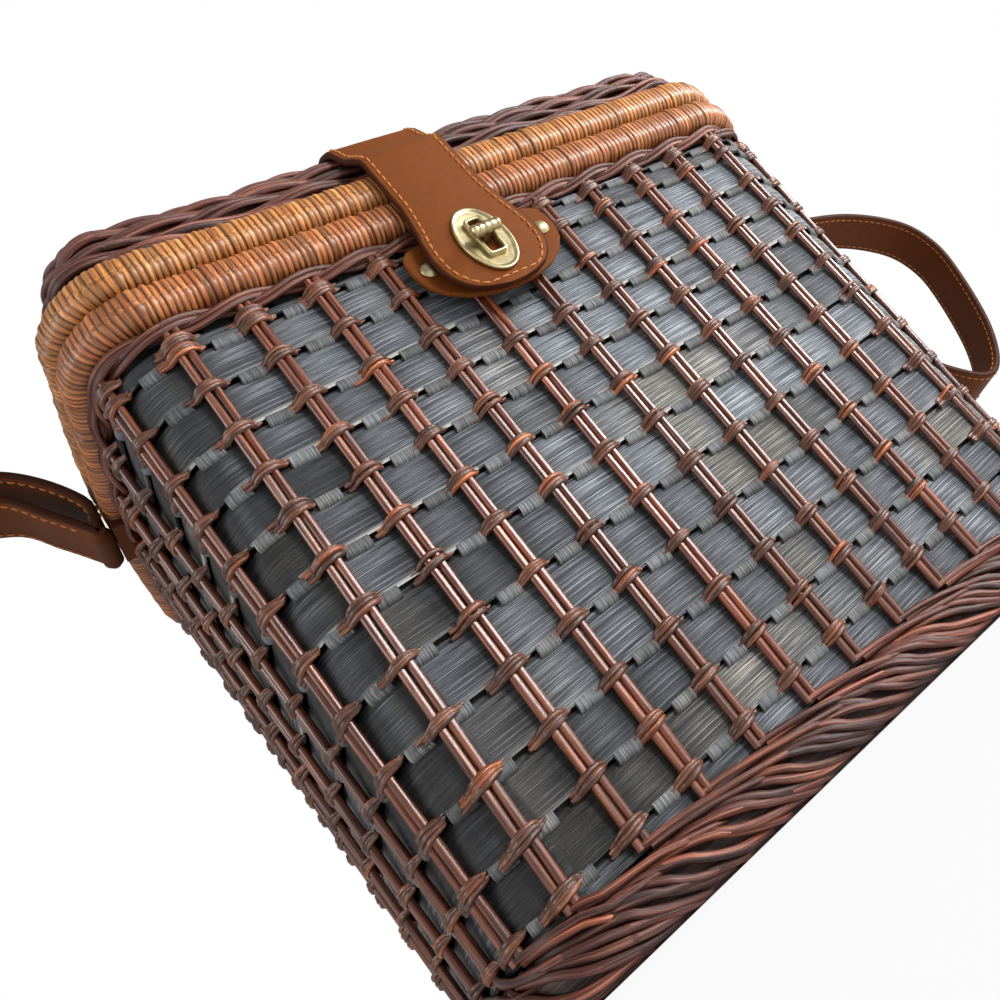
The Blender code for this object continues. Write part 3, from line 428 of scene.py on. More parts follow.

# Upright chips: grey strips inside the hoops, whose hidden length is painted near black as painted shade. At
# each line between rows they come forward for a few millimetres, so a small curved patch with crosswise grain
# shows between two ties.
patch_stain = wood_finish(
    "patch_stain", (0.03, 0.033, 0.037), (0.11, 0.117, 0.126), (0.26, 0.27, 0.275),
    (1.0, 0.92, 0.8), (60.0, 2300.0), 0.6, 0.0002, darkest=0.2,
)
# Painted shade: the upright chips get a near-black copy of the patches' grey, standing in for the shade
# behind the hoops.
upright_shaded_stain = wood_finish(
    "upright_shaded_stain", (0.01, 0.011, 0.013), (0.02, 0.022, 0.025), (0.05, 0.05, 0.05),
    (1.0, 0.9, 0.8), (40.0, 1500.0), 0.7, 0.0002,
)
pair_count, upward = 36, np.array([0.0, 0.0, 1.0])


def refinish(node, material):
    """Gives a CAD piece that stays in view its own finish."""
    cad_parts[node].data.materials.clear()
    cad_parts[node].data.materials.append(material)


refinish("upright_chips", upright_shaded_stain)


def row_crossings(share, lines):
    """Places and heights where points a share of the way from each rod pair to the next meet the
    lines between rows; the height is solved three times because the rods lean with the wall."""
    heights, places = [], []
    for line in lines:
        z = np.full(pair_count, float(line_height(line, 0.0)))
        for _ in range(3):
            posts = np.stack([np.sort(rod_places(level))[k] for k, level in enumerate(z)])
            after = np.append(posts[1:], posts[0] + 8.0)
            place = posts + share * (after - posts)
            spots, _ = wall_plan(place % 8.0, 0.0, z)
            z = line_height(line, spots[:, 0])
        places.append(place)
        heights.append(z)
    return np.stack(places), np.stack(heights)


def frames_at(place, z):
    """Point on the wall, with the directions out of it and along it."""
    spot, out = wall_plan(place % 8.0, 0.0, z)
    along = np.stack([-out[..., 1], out[..., 0], out[..., 2]], -1)
    return spot, out, along


between_pairs, patch_thickness, patch_sink = 0.57, 0.9 * mm, 0.4 * mm
places, heights = row_crossings(between_pairs, range(1, hoop_count))
spot, out, along = frames_at(places.ravel(), heights.ravel())
step = np.linspace(-1.0, 1.0, 7)
section = np.array([(-1.0, 0.0), (-0.96, 1.0), (0.96, 1.0), (1.0, 0.0)])
half_wide = rng.uniform(3.9, 4.9, (len(spot), 1)) * mm
arch = 1.5 * mm + 1.35 * mm * np.clip(1.0 - step ** 2, 0.0, 1.0) ** 0.4
centre = spot[:, None] + upward * (-0.6 * mm - 2.6 * mm * step[:, None])
aside, raised = section[:, 0] * half_wide, section[:, 1] * patch_thickness + arch[:, None] - patch_sink
patch_points = (centre[:, :, None] + along[:, None, None] * aside[:, None, :, None]
                + out[:, None, None] * raised[None, :, :, None])
skin(
    "chip_patches", patch_points[:, :, ::-1], patch_stain, "tub", "chip",
    tone=rng.uniform(0.25, 0.75, (len(spot), 1, 1)), odd=rng.uniform(0.0, 0.6, (len(spot), 1, 1)),
)

# Willow rods: pairs of thin varnished rods, red-brown and glossy, that stand outside the hoops
# from the border to the waling, under the ties that hold them to the hoops.
rod_radius, rod_gap, rod_offset = 1.42 * mm, 0.15 * mm, 4.72 * mm
rod_foot_clearance, rod_head_rise = 1.2 * mm, 1.0 * mm
rod_stain = wood_finish(
    "rod_stain", (0.045, 0.010, 0.005), (0.130, 0.034, 0.013), (0.32, 0.105, 0.038),
    (1.0, 0.8, 0.7), (28.0, 900.0), 0.28, 0.00022, coat=0.7,
)


def round_phase(count):
    """Angles of count even steps round a closed line."""
    return 2.0 * np.pi * np.arange(count) / count


def round_strands(centres, radius, facing, sides=10):
    """Tubes round open lines, shape (pieces, along, 3): each section is a circle square to its
    line, and its first point lies to the side of the line, square to the facing direction."""
    return tubes(centres, np.gradient(centres, axis=1), radius, facing, sides)


def tubes(centres, ahead, radius, facing, sides):
    """Rings of points round lines, in the plane square to the direction ahead at each point."""
    ahead = ahead / np.linalg.norm(ahead, axis=-1, keepdims=True)
    side = np.cross(facing, ahead)
    side /= np.maximum(np.linalg.norm(side, axis=-1, keepdims=True), 1e-9)
    up = np.cross(ahead, side)
    angle = round_phase(sides)[:, None]
    radius = np.broadcast_to(radius, centres.shape[:2])[..., None, None]
    return centres[:, :, None] + radius * (
        side[:, :, None] * np.cos(angle) + up[:, :, None] * np.sin(angle)
    )


def waves(count, line, turns):
    """One slow wave along each of count strands, each with its own start."""
    return np.sin(line * turns + rng.uniform(0.0, 6.0, (count, 1)))


rise = np.linspace(0.0, 1.0, 25)
rod_heights = border_height + rod_foot_clearance + rise * (wall_top + rod_head_rise - border_height)
rod_places_up = np.stack([rod_places(z) for z in rod_heights], 1)
spot, out, along = frames_at(rod_places_up, np.broadcast_to(rod_heights, rod_places_up.shape))
rod_lines = []
for sign in (-1.0, 1.0):
    sway = 0.1 * mm * waves(pair_count, rise, 9.0)
    away = rod_offset + 0.12 * mm * waves(pair_count, rise, 13.0)
    aside = sign * (rod_radius + rod_gap / 2.0) + sway
    rod_lines.append(spot + out * away[..., None] + along * aside[..., None])
rod_lines = np.concatenate(rod_lines)
rod_count = len(rod_lines)
thick = rod_radius * (1.0 + 0.05 * waves(rod_count, rise, 21.0))
rods = skin(
    "willow_rods", round_strands(rod_lines, thick, np.concatenate([out, out])), rod_stain, "tub", "rod",
    tone=rng.uniform(0.25, 0.75, (rod_count, 1, 1)), odd=rng.uniform(0.0, 1.0, (rod_count, 1, 1)),
)
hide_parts("rods_front", "rods_back", "rods_left", "rods_right")

# Ties: split willow, three strands at each crossing of a rod pair and a line between rows. They
# come out from behind the chips on the left, rise over both rods and end in points on the right.
tie_stain = wood_finish(
    "tie_stain", (0.026, 0.008, 0.005), (0.105, 0.031, 0.014), (0.31, 0.115, 0.052),
    (2.1, 1.7, 1.0), (60.0, 1300.0), 0.32, 0.00035, coat=0.4,
)
tie_radius, tie_pitch, tie_slope, tie_gather, tie_jitter = 1.1 * mm, 1.45 * mm, 0.16, 0.5 * mm, 0.35 * mm
tie_offset, tie_over_rods, tie_arch_half, middle_rise = 2.2 * mm, 1.55 * mm, 4.6 * mm, 0.25 * mm
top_drop, clasp_reach, clasp_low, clasp_middle = 2.4 * mm, 33.0 * mm, 200.0 * mm, -12.0 * mm
places, heights = row_crossings(0.0, range(hoop_count))
heights[0] -= top_drop
spot, out, along = frames_at(places.ravel(), heights.ravel())
behind_clasp = ((spot[:, 1] < 0.0) & (np.abs(spot[:, 0] - clasp_middle) < clasp_reach)
                & (spot[:, 2] > clasp_low))
spot, out, along = spot[~behind_clasp], out[~behind_clasp], along[~behind_clasp]
tie_count = len(spot)
bend = np.array([-1.0, -0.78, -0.6, -0.47, -0.26, 0.0, 0.3, 0.56, 0.7, 0.85, 1.0])
pointed, rounded = 1.0 - 0.72 * np.clip(bend, 0.0, 1.0) ** 4, 1.0 - 0.35 * np.abs(bend) ** 5
taper = np.where(bend > 0.0, pointed, rounded)
tie_parts, tones, odds = [], [], []
for course in (-1.0, 0.0, 1.0):
    jitter = rng.normal(0.0, tie_jitter, (tie_count, 1))
    left = rng.uniform(7.2, 9.6, (tie_count, 1)) * mm
    right = rng.uniform(5.6, 7.8, (tie_count, 1)) * mm
    run = np.where(bend < 0.0, bend * left, bend * right)
    lift = np.clip(1.0 - (np.abs(run) / tie_arch_half) ** 2.2, 0.0, 1.0) ** 0.55
    away = tie_offset + (rod_offset + tie_over_rods - tie_offset) * lift + middle_rise * (course == 0.0)
    up = (course * tie_pitch * (0.75 + 0.25 * lift) + tie_slope * run + jitter
          - course * tie_gather * np.clip(bend, 0.0, 1.0))
    centres = (spot[:, None] + out[:, None] * away[..., None] + along[:, None] * run[..., None]
               + upward * up[..., None])
    tie_parts.append(round_strands(centres, tie_radius * taper, out[:, None], 6))
    tones.append(rng.uniform(0.15, 0.85, (tie_count, 1, 1)))
    odds.append((rng.uniform(0.0, 1.0, (tie_count, 1, 1)) > 0.88) * 1.0)
skin(
    "willow_ties", np.concatenate(tie_parts), tie_stain, "tub", "rod",
    tone=np.concatenate(tones), odd=np.concatenate(odds),
)

# Waling: two pairs of willow strands twisted round each other under the body rim; they dip
# under each side strap's root.
willow_stain = wood_finish(
    "willow_stain", (0.022, 0.005, 0.004), (0.082, 0.021, 0.014), (0.27, 0.095, 0.062),
    (1.9, 1.8, 1.3), (24.0, 1300.0), 0.4, 0.0005, coat=0.12, darkest=0.3,
)
waling_count, waling_turns, waling_height, waling_offset = 1200, 22.0, 242.3 * mm, 4.1 * mm
twist_high, twist_out, pair_high, pair_out = 1.6 * mm, 1.9 * mm, 1.05 * mm, 0.25 * mm
waling_radius, strap_keep, strap_ease, side_from_x = 1.15 * mm, 17.5 * mm, 2.5 * mm, 100.0 * mm
strap_dip, strap_thinning = 1.75 * mm, 0.35 * mm


def ring_strands(centres, radius, sides=8):
    """Tubes round closed lines, shape (pieces, along, 3), each a circle square to its line."""
    return tubes(centres, np.roll(centres, -1, 1) - np.roll(centres, 1, 1), radius, upward, sides)


waling_places = even_places(waling_count)
turns = round_phase(waling_count) * waling_turns
flat_spots, _ = wall_plan(waling_places, 0.0, wall_top)
under_strap = np.clip((strap_keep - np.abs(flat_spots[:, 1])) / strap_ease, 0.0, 1.0)
under_strap = under_strap * (np.abs(flat_spots[:, 0]) > side_from_x)
swing = 1.0 - 0.8 * under_strap
waling_lines = []
for phase, apart in ((0.0, -1.0), (0.0, 1.0), (np.pi, -1.0), (np.pi, 1.0)):
    lift = twist_high * np.sin(turns + phase) + pair_high * apart
    z = waling_height - strap_dip * under_strap + swing * lift
    off = waling_offset + twist_out * np.cos(turns + phase) + pair_out * apart
    waling_lines.append(wall_plan(waling_places, off, z)[0])
waling = skin(
    "waling_twist", ring_strands(np.stack(waling_lines), waling_radius - strap_thinning * under_strap),
    willow_stain, "tub", "willow", loop_u=True,
    tone=np.array([0.6, 0.4, 0.75, 0.5]).reshape(4, 1, 1), odd=0.25,
)
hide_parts("waling")

# Foot border: seven bundles of three willow strands rolled round a core, so that they slant
# across its outer face; the core stands flat on the table. From each pair of rods two short
# strands turn along the foot, come down over the roll and end behind it.
core_profile = np.array([
    (-5.4, 0.1), (3.6, 0.1), (6.0, 4.0), (6.6, 10.0), (4.6, 16.0), (2.0, 18.4), (-5.4, 18.4),
]) * mm
foot_count, foot_offset, bundle_count, rolls_round, strand_apart = 620, 6.0 * mm, 7, 8.0, 0.27
roll_middle, roll_high, roll_bottom, roll_top = 9.9 * mm, 8.2 * mm, 1.6 * mm, 18.6 * mm
roll_offset, roll_wide, roll_back, roll_lean, roll_radius = 1.7 * mm, 7.4 * mm, -0.85, 0.16, 1.38 * mm
turned_top, turned_apart, turned_offset, turned_dip = 21.9 * mm, 1.5 * mm, 4.6 * mm, 5.5 * mm
turned_radius, dip_from = 1.25 * mm, 0.85
foot_places = even_places(foot_count, foot_offset, 0.0)
core_grid, _ = wall_plan(foot_places[:, None], core_profile[None, :, 0], core_profile[None, :, 1])
core = skin("foot_core", core_grid[None], willow_stain, "tub", "willow", loop_u=True, tone=0.1, odd=0.0)
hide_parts("foot_border")
way_round = round_phase(foot_count)


def slow_wave(fewest, most):
    """Wave round the foot with a whole number of turns, from fewest to one less than most."""
    return np.sin(way_round * rng.integers(fewest, most) + rng.uniform(0.0, 6.0))


def squared(values, power):
    """Numbers from -1 to 1 pushed towards both ends, which turns a circle into a squared oval."""
    return np.sign(values) * np.abs(values) ** power


roll_lines, roll_tones, roll_odds = [], [], []
for bundle in range(bundle_count):
    for strand in (-1.0, 0.0, 1.0):
        phase = rolls_round * way_round + bundle * 2.0 * np.pi / bundle_count + strand * strand_apart
        phase = phase + rng.normal(0.0, 0.05)
        phase = phase + 0.16 * slow_wave(9, 17)
        swell = 1.0 + 0.05 * slow_wave(20, 40)
        high, wide = squared(np.cos(phase), 0.85), squared(np.sin(phase), 0.75)
        z = np.clip(roll_middle + roll_high * high * swell, roll_bottom, roll_top)
        off = roll_offset + roll_wide * np.maximum(wide, roll_back) * swell
        off = off - roll_lean * np.maximum(z - 10.0 * mm, 0.0)
        roll_lines.append(wall_plan(foot_places, off, z)[0])
        drift = slow_wave(7, 19)
        roll_tones.append(np.clip(rng.uniform(0.1, 0.95) + 0.3 * drift, 0.0, 1.0))
        roll_odds.append(np.clip(rng.normal(0.05, 0.5), 0.0, 1.0))
skin(
    "foot_roll", ring_strands(np.stack(roll_lines), roll_radius, 6), willow_stain, "tub", "willow",
    loop_u=True, tone=np.stack(roll_tones)[..., None], odd=np.array(roll_odds).reshape(-1, 1, 1),
)
posts = np.sort(rod_places(border_height))
posts = np.concatenate([posts, posts[:4] + 8.0])
share = np.linspace(0.0, 1.0, 30)
turned_lines = []
for side_of_pair in (-0.06, 0.06):
    reach = rng.uniform(1.5, 2.6, (pair_count, 1))
    past_posts = np.arange(pair_count)[:, None] + side_of_pair + reach * share
    place = np.interp(past_posts, np.arange(len(posts)), posts)
    drop = rng.uniform(7.0, 10.0, (pair_count, 1)) * mm
    z = turned_top - turned_apart * (side_of_pair > 0.0) - drop * share ** 1.6
    dip = turned_dip * np.clip(share - dip_from, 0.0, 1.0) / (1.0 - dip_from)
    off = turned_offset * (1.0 + np.sin(np.pi / 2.0 * share)) - dip
    turned_lines.append(wall_plan(place % 8.0, off, z)[0])
turned_lines = np.concatenate(turned_lines)
turned_count = len(turned_lines)
skin(
    "foot_turned_rods", round_strands(turned_lines, turned_radius * (1.0 - 0.3 * share), upward),
    willow_stain, "tub", "willow", tone=rng.uniform(0.2, 1.0, (turned_count, 1, 1)),
    odd=np.clip(rng.normal(0.25, 0.45, (turned_count, 1, 1)), 0.0, 1.0),
)

# Rims: flat cane wound closely round a cane core, golden brown, the lid's a little yellower;
# each turn is a slightly crowned band, and painted shade darkens each turn towards both edges, so dark gaps
# show where two turns part.
rim_low, rim_height, rim_reach, rim_inset, rim_gap = 246.1 * mm, 15.7 * mm, 10.5 * mm, 8.5 * mm, 0.3 * mm
steps_in_turn, rim_sides, rim_power, turn_lean = 6, 26, 0.66, 0.55
cane_sink, crown_rise, turn_spread, rim_offset = 0.55 * mm, 0.5 * mm, 0.17 * mm, 5.0 * mm


def wound_rim(name, low, count, material, body, seed):
    """Ring wound with count turns round a squared section. A turn is crowned by the sine of pi
    times the share of the turn, to the power 0.4, and it leans as it goes round the section."""
    turn_rng = np.random.default_rng(seed)
    total = count * steps_in_turn
    angle = np.linspace(0.0, 2.0 * np.pi, rim_sides, endpoint=False)
    half_wide, half_high = (rim_reach + rim_inset) / 2.0, rim_height / 2.0
    wide, high = squared(np.cos(angle), rim_power), squared(np.sin(angle), rim_power)
    phase = np.arange(total)[:, None] / steps_in_turn + turn_lean * np.sin(angle)[None] / np.pi
    number = np.floor(phase).astype(int) % count
    crown = np.clip(np.sin(np.pi * (phase - np.floor(phase))), 0.0, 1.0) ** 0.4
    size = turn_rng.normal(0.0, turn_spread, count)[number]
    shrink = crown_rise * crown - cane_sink + size
    offset = (rim_reach - rim_inset) / 2.0 + wide[None] * (half_wide + shrink)
    z = low + half_high + high[None] * (half_high + shrink)
    points, _ = wall_plan(even_places(total, rim_offset)[:, None], offset, z)
    # Painted shade: a turn's colour is lightest on its crown and falls to near black at both edges, where it
    # meets the next turn.
    tone = turn_rng.uniform(0.42, 0.85, count)[number] * np.clip(crown * 1.6 - 0.6, 0.0, 1.0)
    odd = np.clip(turn_rng.normal(0.25, 0.3, count), 0.0, 1.0)[number]
    return skin(name, points[None], material, body, "cane", loop_u=True, tone=tone[None], odd=odd[None])


body_cane = wood_finish(
    "body_cane", (0.20, 0.060, 0.016), (0.44, 0.150, 0.042), (0.66, 0.28, 0.095),
    (1.0, 0.74, 0.62), (900.0, 40.0), 0.42, 0.00012, coat=0.15, darkest=0.05,
)
lid_cane = wood_finish(
    "lid_cane", (0.25, 0.085, 0.020), (0.52, 0.205, 0.052), (0.74, 0.36, 0.115),
    (1.0, 0.8, 0.6), (900.0, 40.0), 0.42, 0.00012, coat=0.15, darkest=0.05,
)
body_rim = wound_rim("body_rim_cane", rim_low, 470, body_cane, "tub", 3)
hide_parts("body_rim")
lid_rim = wound_rim("lid_rim_cane", rim_low + rim_height + rim_gap, 450, lid_cane, "lid", 4)
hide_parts("lid_rim")

# Lid: a dark shell with willow worked over it. Round the sides fourteen courses go over and
# under the stakes; across the top the courses run side to side, stakes every 24 mm, to a low dome.
skirt_line = np.array([(5.0, 278.1), (3.32, 290.1), (-1.3, 301.5), (-9.0, 308.1)]) * mm
skirt_slopes = (0.05, 0.25, 0.65, 0.95)
dome_inset = np.array([9.3, 39.65, 70.0]) * mm
dome_height = np.array([308.1, 314.56, 317.6]) * mm
shell_profile = np.array([
    (-70.0, 312.9), (-39.65, 309.9), (-15.0, 304.3), (-9.0, 301.4), (-4.6, 298.6), (-1.2, 289.5),
    (0.4, 278.4), (-3.2, 278.4), (-7.0, 290.0), (-12.0, 297.5), (-16.0, 300.5), (-39.65, 306.0),
    (-70.0, 308.9),
]) * mm
shell_grid, _ = wall_plan(even_places(360)[None], shell_profile[:, None, 0], shell_profile[:, None, 1])
lid_shell = skin("lid_shell", shell_grid[None], willow_stain, "lid", "willow", tone=0.05, odd=0.0)
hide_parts("lid_skirt", "lid_top")

course_count, course_steps, stakes_round, course_radius = 14, 840, 22.0, 1.35 * mm
course_inset, weave_reach, stake_drift, slow_drift = 3.1 * mm, 1.7 * mm, 0.9 * mm, 0.35 * mm
lowest_course, course_offset = 279.7 * mm, 2.0 * mm
course_places = even_places(course_steps, course_offset)
stake_phase = round_phase(course_steps) * stakes_round
way = way_along(skirt_line)
course_lines = []
for course in range(course_count):
    at = (course + 0.6) / (course_count + 0.4) * way[-1]
    slope_at = np.interp(at, way, skirt_slopes)
    weave_phase = stake_phase + np.pi * (course // 2 % 2) + 0.3 * course + rng.normal(0.0, 0.25)
    inward = course_inset - weave_reach * np.sin(weave_phase)
    off = np.interp(at, way, skirt_line[:, 0]) - inward * (1.0 - 0.55 * slope_at)
    drift = stake_drift * np.sin(stake_phase * 0.5 + course * 0.8)
    drift = drift + slow_drift * np.sin(stake_phase * 0.13 + course)
    z = np.interp(at, way, skirt_line[:, 1]) - inward * slope_at + drift
    course_lines.append(wall_plan(course_places, off, np.maximum(z, lowest_course))[0])
course_tones = rng.uniform(0.1, 1.0, (course_count, 1, 1)) + 0.15 * np.sin(stake_phase * 0.23)[None, :, None]
skin(
    "lid_side_courses", ring_strands(np.stack(course_lines), course_radius), willow_stain, "lid",
    "willow", loop_u=True, tone=np.clip(course_tones, 0.0, 1.0),
    odd=(rng.uniform(0.0, 1.0, (course_count, 1, 1)) > 0.75) * 0.6,
)

row_count, row_points, row_radius, row_sink, stake_step = 45, 150, 2.05 * mm, 3.3 * mm, 24.2 * mm
row_inset, corner_reach, over_reach, end_dip = 10.0 * mm, 12.0 * mm, 1.15 * mm, 2.6 * mm
rows = np.linspace(-93.0, 93.0, row_count) * mm
bowed = side_bow * np.maximum(1.0 - (rows / rim_half_depth) ** 2, 0.0) ** 2
into_round = np.maximum(np.abs(rows) - (rim_half_depth - corner_radius), 0.0)
cut_back = corner_reach - np.sqrt(np.maximum(corner_reach ** 2 - into_round ** 2, 0.0))
row_reach = rim_half_width - row_inset + bowed - cut_back
span = np.linspace(-1.0, 1.0, row_points)
top_x = span[None] * row_reach[:, None]
top_y = rows[:, None] + 0.35 * mm * np.sin(top_x * 61.0 + rows[:, None] * 900.0)
inset = np.minimum(rim_half_width + side_bow - np.abs(top_x), rim_half_depth - np.abs(top_y))
over = over_reach * np.sin(top_x * np.pi / stake_step + np.pi * (np.arange(row_count)[:, None] % 2))
top_z = np.interp(inset, dome_inset, dome_height) - row_sink + over
top_z = top_z - end_dip * np.clip((np.abs(span[None]) - 0.965) / 0.035, 0.0, 1.0) ** 2
top_tones = rng.uniform(0.1, 0.9, (row_count, 1, 1)) + 0.12 * np.sin(top_x * 40.0)[..., None]
skin(
    "lid_top_courses", round_strands(np.stack([top_x, top_y, top_z], -1), row_radius, upward),
    willow_stain, "lid", "willow", tone=top_tones,
    odd=(rng.uniform(0.0, 1.0, (row_count, 1, 1)) > 0.8) * 0.5,
)

# Lining and base: black coated cloth inside the tub and under the lid, and a plain wooden base
# board inside the foot.


def plain_finish(name, dark, light, scale, rough, relief, metal=0.0, coat=0.0, shine=0.35):
    """Mottled finish: noise in object space at scale per metre mixes dark and light, shifts the
    roughness a little and raises the surface by relief metres; a finer noise adds grain, and the
    mark 'wear' darkens rubbed edges."""
    material, tree, shader = blank_finish(name)
    place = add_node(tree, "ShaderNodeTexCoord").outputs["Object"]
    cloud, fine = (
        add_node(
            tree, "ShaderNodeTexNoise", {"Scale": fineness, "Detail": detail}, {"Vector": place}
        ).outputs[0]
        for fineness, detail in ((scale, 5.0), (scale * 14.0, 3.0))
    )
    mottle = add_node(tree, "ShaderNodeMix", {"Factor": 0.35}, {"A": cloud, "B": fine}).outputs[0]
    wear = add_node(tree, "ShaderNodeAttribute", attribute_name="wear").outputs["Fac"]
    tint = colour_ramp(tree, mottle, ((0.32, dark), (0.68, light)))
    tree.links.new(mix_colours(tree, wear, tint, worn_edge, "MULTIPLY"), shader.inputs["Base Color"])
    roughen(tree, shader, mottle, rough - 0.08, rough + 0.12, fine, relief)
    for key, value in (("Metallic", metal), ("Specular IOR Level", shine), ("Coat Weight", coat)):
        shader.inputs[key].default_value = value
    shader.inputs["Coat Roughness"].default_value = 0.3
    return material


worn_edge = (0.32, 0.24, 0.22)
same_point, flat_angle = 0.002 * mm, math.radians(1.0)
smooth_angle, eased_angle = math.radians(38.0), math.radians(40.0)


def eased_copy(node, body, ease, material):
    """Copy of a CAD piece with its triangles merged, flat faces dissolved and edges rounded."""
    bm = bmesh.new()
    bm.from_mesh(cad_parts[node].data)
    bmesh.ops.remove_doubles(bm, verts=bm.verts, dist=same_point)
    bmesh.ops.dissolve_limit(
        bm, angle_limit=flat_angle, verts=bm.verts, edges=bm.edges,
        use_dissolve_boundaries=False, delimit=set(),
    )
    mesh = bpy.data.meshes.new(node + "_eased")
    bm.to_mesh(mesh)
    bm.free()
    mesh.materials.append(material)
    mesh.shade_smooth()
    mesh.set_sharp_from_angle(angle=smooth_angle)
    piece = add_object(node + "_eased", mesh)
    if ease:
        rounding = piece.modifiers.new("rounding", "BEVEL")
        rounding.width = ease
        rounding.segments = 2
        rounding.limit_method = "ANGLE"
        rounding.angle_limit = eased_angle
    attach(piece, body)
    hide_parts(node)


black_cloth = plain_finish("black_cloth", (0.008, 0.008, 0.009), (0.02, 0.02, 0.022), 900.0, 0.5, 0.0001)
plain_board = plain_finish("plain_board", (0.32, 0.19, 0.09), (0.5, 0.33, 0.17), 60.0, 0.6, 0.0001)
for node, finish in (("lining_tub", black_cloth), ("lid_lining", black_cloth), ("base_board", plain_board)):
    refinish(node, finish)

# Leather: tan hide 3 mm thick, darker and rubbed at its cut edges, with one row of orange
# thread a little inside each long edge.
tan_hide = plain_finish(
    "tan_hide", (0.135, 0.034, 0.0032), (0.18, 0.047, 0.0048), 420.0, 0.55, 0.0002, shine=0.14
)
strap_hide = plain_finish(
    "strap_hide", (0.115, 0.029, 0.004), (0.165, 0.044, 0.007), 420.0, 0.52, 0.0002, shine=0.16
)
thread = plain_finish("thread", (0.42, 0.13, 0.03), (0.62, 0.24, 0.06), 1500.0, 0.6, 0.00005)
hide_thickness, stitch_inset, stitch_pitch, thread_radius = 3.0 * mm, 3.0 * mm, 3.9 * mm, 0.42 * mm
stitch_rise, stitch_sink = 0.28 * mm, 0.12 * mm


def eased_line(points, count, ease):
    """Even points along a polyline whose corners are rounded by a running mean ease metres long."""
    points = np.asarray(points, float)
    far = way_along(points)
    at = np.linspace(0.0, far[-1], count)
    line = np.stack([np.interp(at, far, points[:, k]) for k in range(3)], 1)
    span = max(int(round(ease / far[-1] * count / 2.0)), 1)
    first = 2.0 * line[0] - line[span:0:-1]
    last = 2.0 * line[-1] - line[-2:-2 - span:-1]
    padded = np.concatenate([first, line, last])
    kernel = np.hanning(2 * span + 3)[1:-1]
    kernel /= kernel.sum()
    return np.stack([np.convolve(padded[:, k], kernel, "valid") for k in range(3)], 1)


def hide_band(name, line, across, half_width, thickness, material, body, slot="leather"):
    """Leather strip along a line: its section is a flat oval-cornered rectangle, half_width wide
    along the across direction and as thick along the line's normal. Gives piece and normals."""
    ahead = np.gradient(line, axis=0)
    ahead /= np.linalg.norm(ahead, axis=1, keepdims=True)
    normal = np.cross(across, ahead)
    normal /= np.linalg.norm(normal, axis=1, keepdims=True)
    wide = np.array([-1.0, -1.0, -0.975, -0.93, 0.0, 0.93, 0.975])
    high = np.array([-0.45, 0.45, 0.85, 1.0, 1.06, 1.0, 0.85])
    wide, high = np.append(wide, -wide), np.append(high, -np.minimum(high, 1.0))
    edge = (np.abs(wide) > 0.95) * 1.0
    half_width = np.broadcast_to(half_width, len(line))[:, None, None]
    thickness = np.broadcast_to(thickness, len(line))[:, None, None]
    grid = (line[:, None] + across * wide[None, :, None] * half_width
            + normal[:, None] * high[None, :, None] * thickness / 2.0)
    return skin(name, grid[None], material, body, slot, wear=edge[None, None]), normal


def stitch_row(name, line, lift, body):
    """Row of short threads on a line: each is a tube that tapers to its two holes, lift gives the
    outward direction at each point of the line."""
    far = way_along(line)
    count = int(far[-1] / stitch_pitch)
    start = (np.arange(count) + 0.5) / count * far[-1]
    t = np.linspace(-1.0, 1.0, 5)
    at = start[:, None] + t[None] * stitch_pitch * 0.37
    spots = np.stack([np.interp(at, far, line[:, k]) for k in range(3)], -1)
    ups = np.stack([np.interp(at, far, lift[:, k]) for k in range(3)], -1)
    spots = spots + ups * (stitch_rise * (1.0 - t ** 4) - stitch_sink)[None, :, None]
    ring = round_strands(spots, thread_radius * (1.0 - 0.6 * np.abs(t) ** 3), ups, 5)
    return skin(name, ring, thread, body, "leather", wear=0.0)


# Tongue: one strap riveted to the lid, bent over its rim, that widens round the lock and ends in a blunt
# round tip;
# it turns straight down just above the lid's rim.
clasp_x, tongue_y, tongue_pivot_z, tongue_tip_z = -14.0 * mm, -118.72 * mm, 280.0 * mm, 199.0 * mm
tongue_steps, tongue_widest, root_half, root_widening = 150, 22.5 * mm, 18.0 * mm, 2.4 * mm
tongue_line = eased_line([
    (clasp_x, -65.1 * mm, 316.3 * mm), (clasp_x, -96.2 * mm, 309.9 * mm), (clasp_x, -105.2 * mm, 303.0 * mm),
    (clasp_x, -110.4 * mm, 290.6 * mm), (clasp_x, -118.6 * mm, 280.4 * mm), (clasp_x, tongue_y, 276.0 * mm),
    (clasp_x, tongue_y, tongue_tip_z),
], tongue_steps, 10.0 * mm)
flap_down = np.clip((tongue_pivot_z - tongue_line[:, 2]) / (tongue_pivot_z - tongue_tip_z), 0.0, 1.0)
down_shares = (0.0, 0.38, 0.55, 0.64, 0.72, 0.8, 0.86, 0.91, 0.95, 0.98, 0.995, 1.0)
wide_shares = (0.80, 0.81, 0.90, 0.97, 1.0, 0.99, 0.93, 0.83, 0.68, 0.47, 0.27, 0.16)
tongue_half = tongue_widest * np.interp(flap_down, down_shares, wide_shares)
widened = root_half + root_widening * np.linspace(1.0, 0.0, tongue_steps)
tongue_half = np.where(flap_down <= 0.0, widened, tongue_half)
x_way = np.array([1.0, 0.0, 0.0])
tongue, tongue_normal = hide_band(
    "tongue_strap", tongue_line, -x_way, tongue_half, hide_thickness, tan_hide, None
)
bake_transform(tongue)
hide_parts("tongue_root", "tongue_flap")


def edge_line(line, normal, half_width, thickness, side, inset):
    """Line on a strip's outer face, inset from one edge, with the face's outward direction; at
    a tip it turns across, since the inset is kept from the outline and from the end alike."""
    face = line + normal * thickness * 0.53
    keep = half_width > inset * 1.02
    return (face + x_way * (side * (half_width - inset))[:, None])[keep], normal[keep]


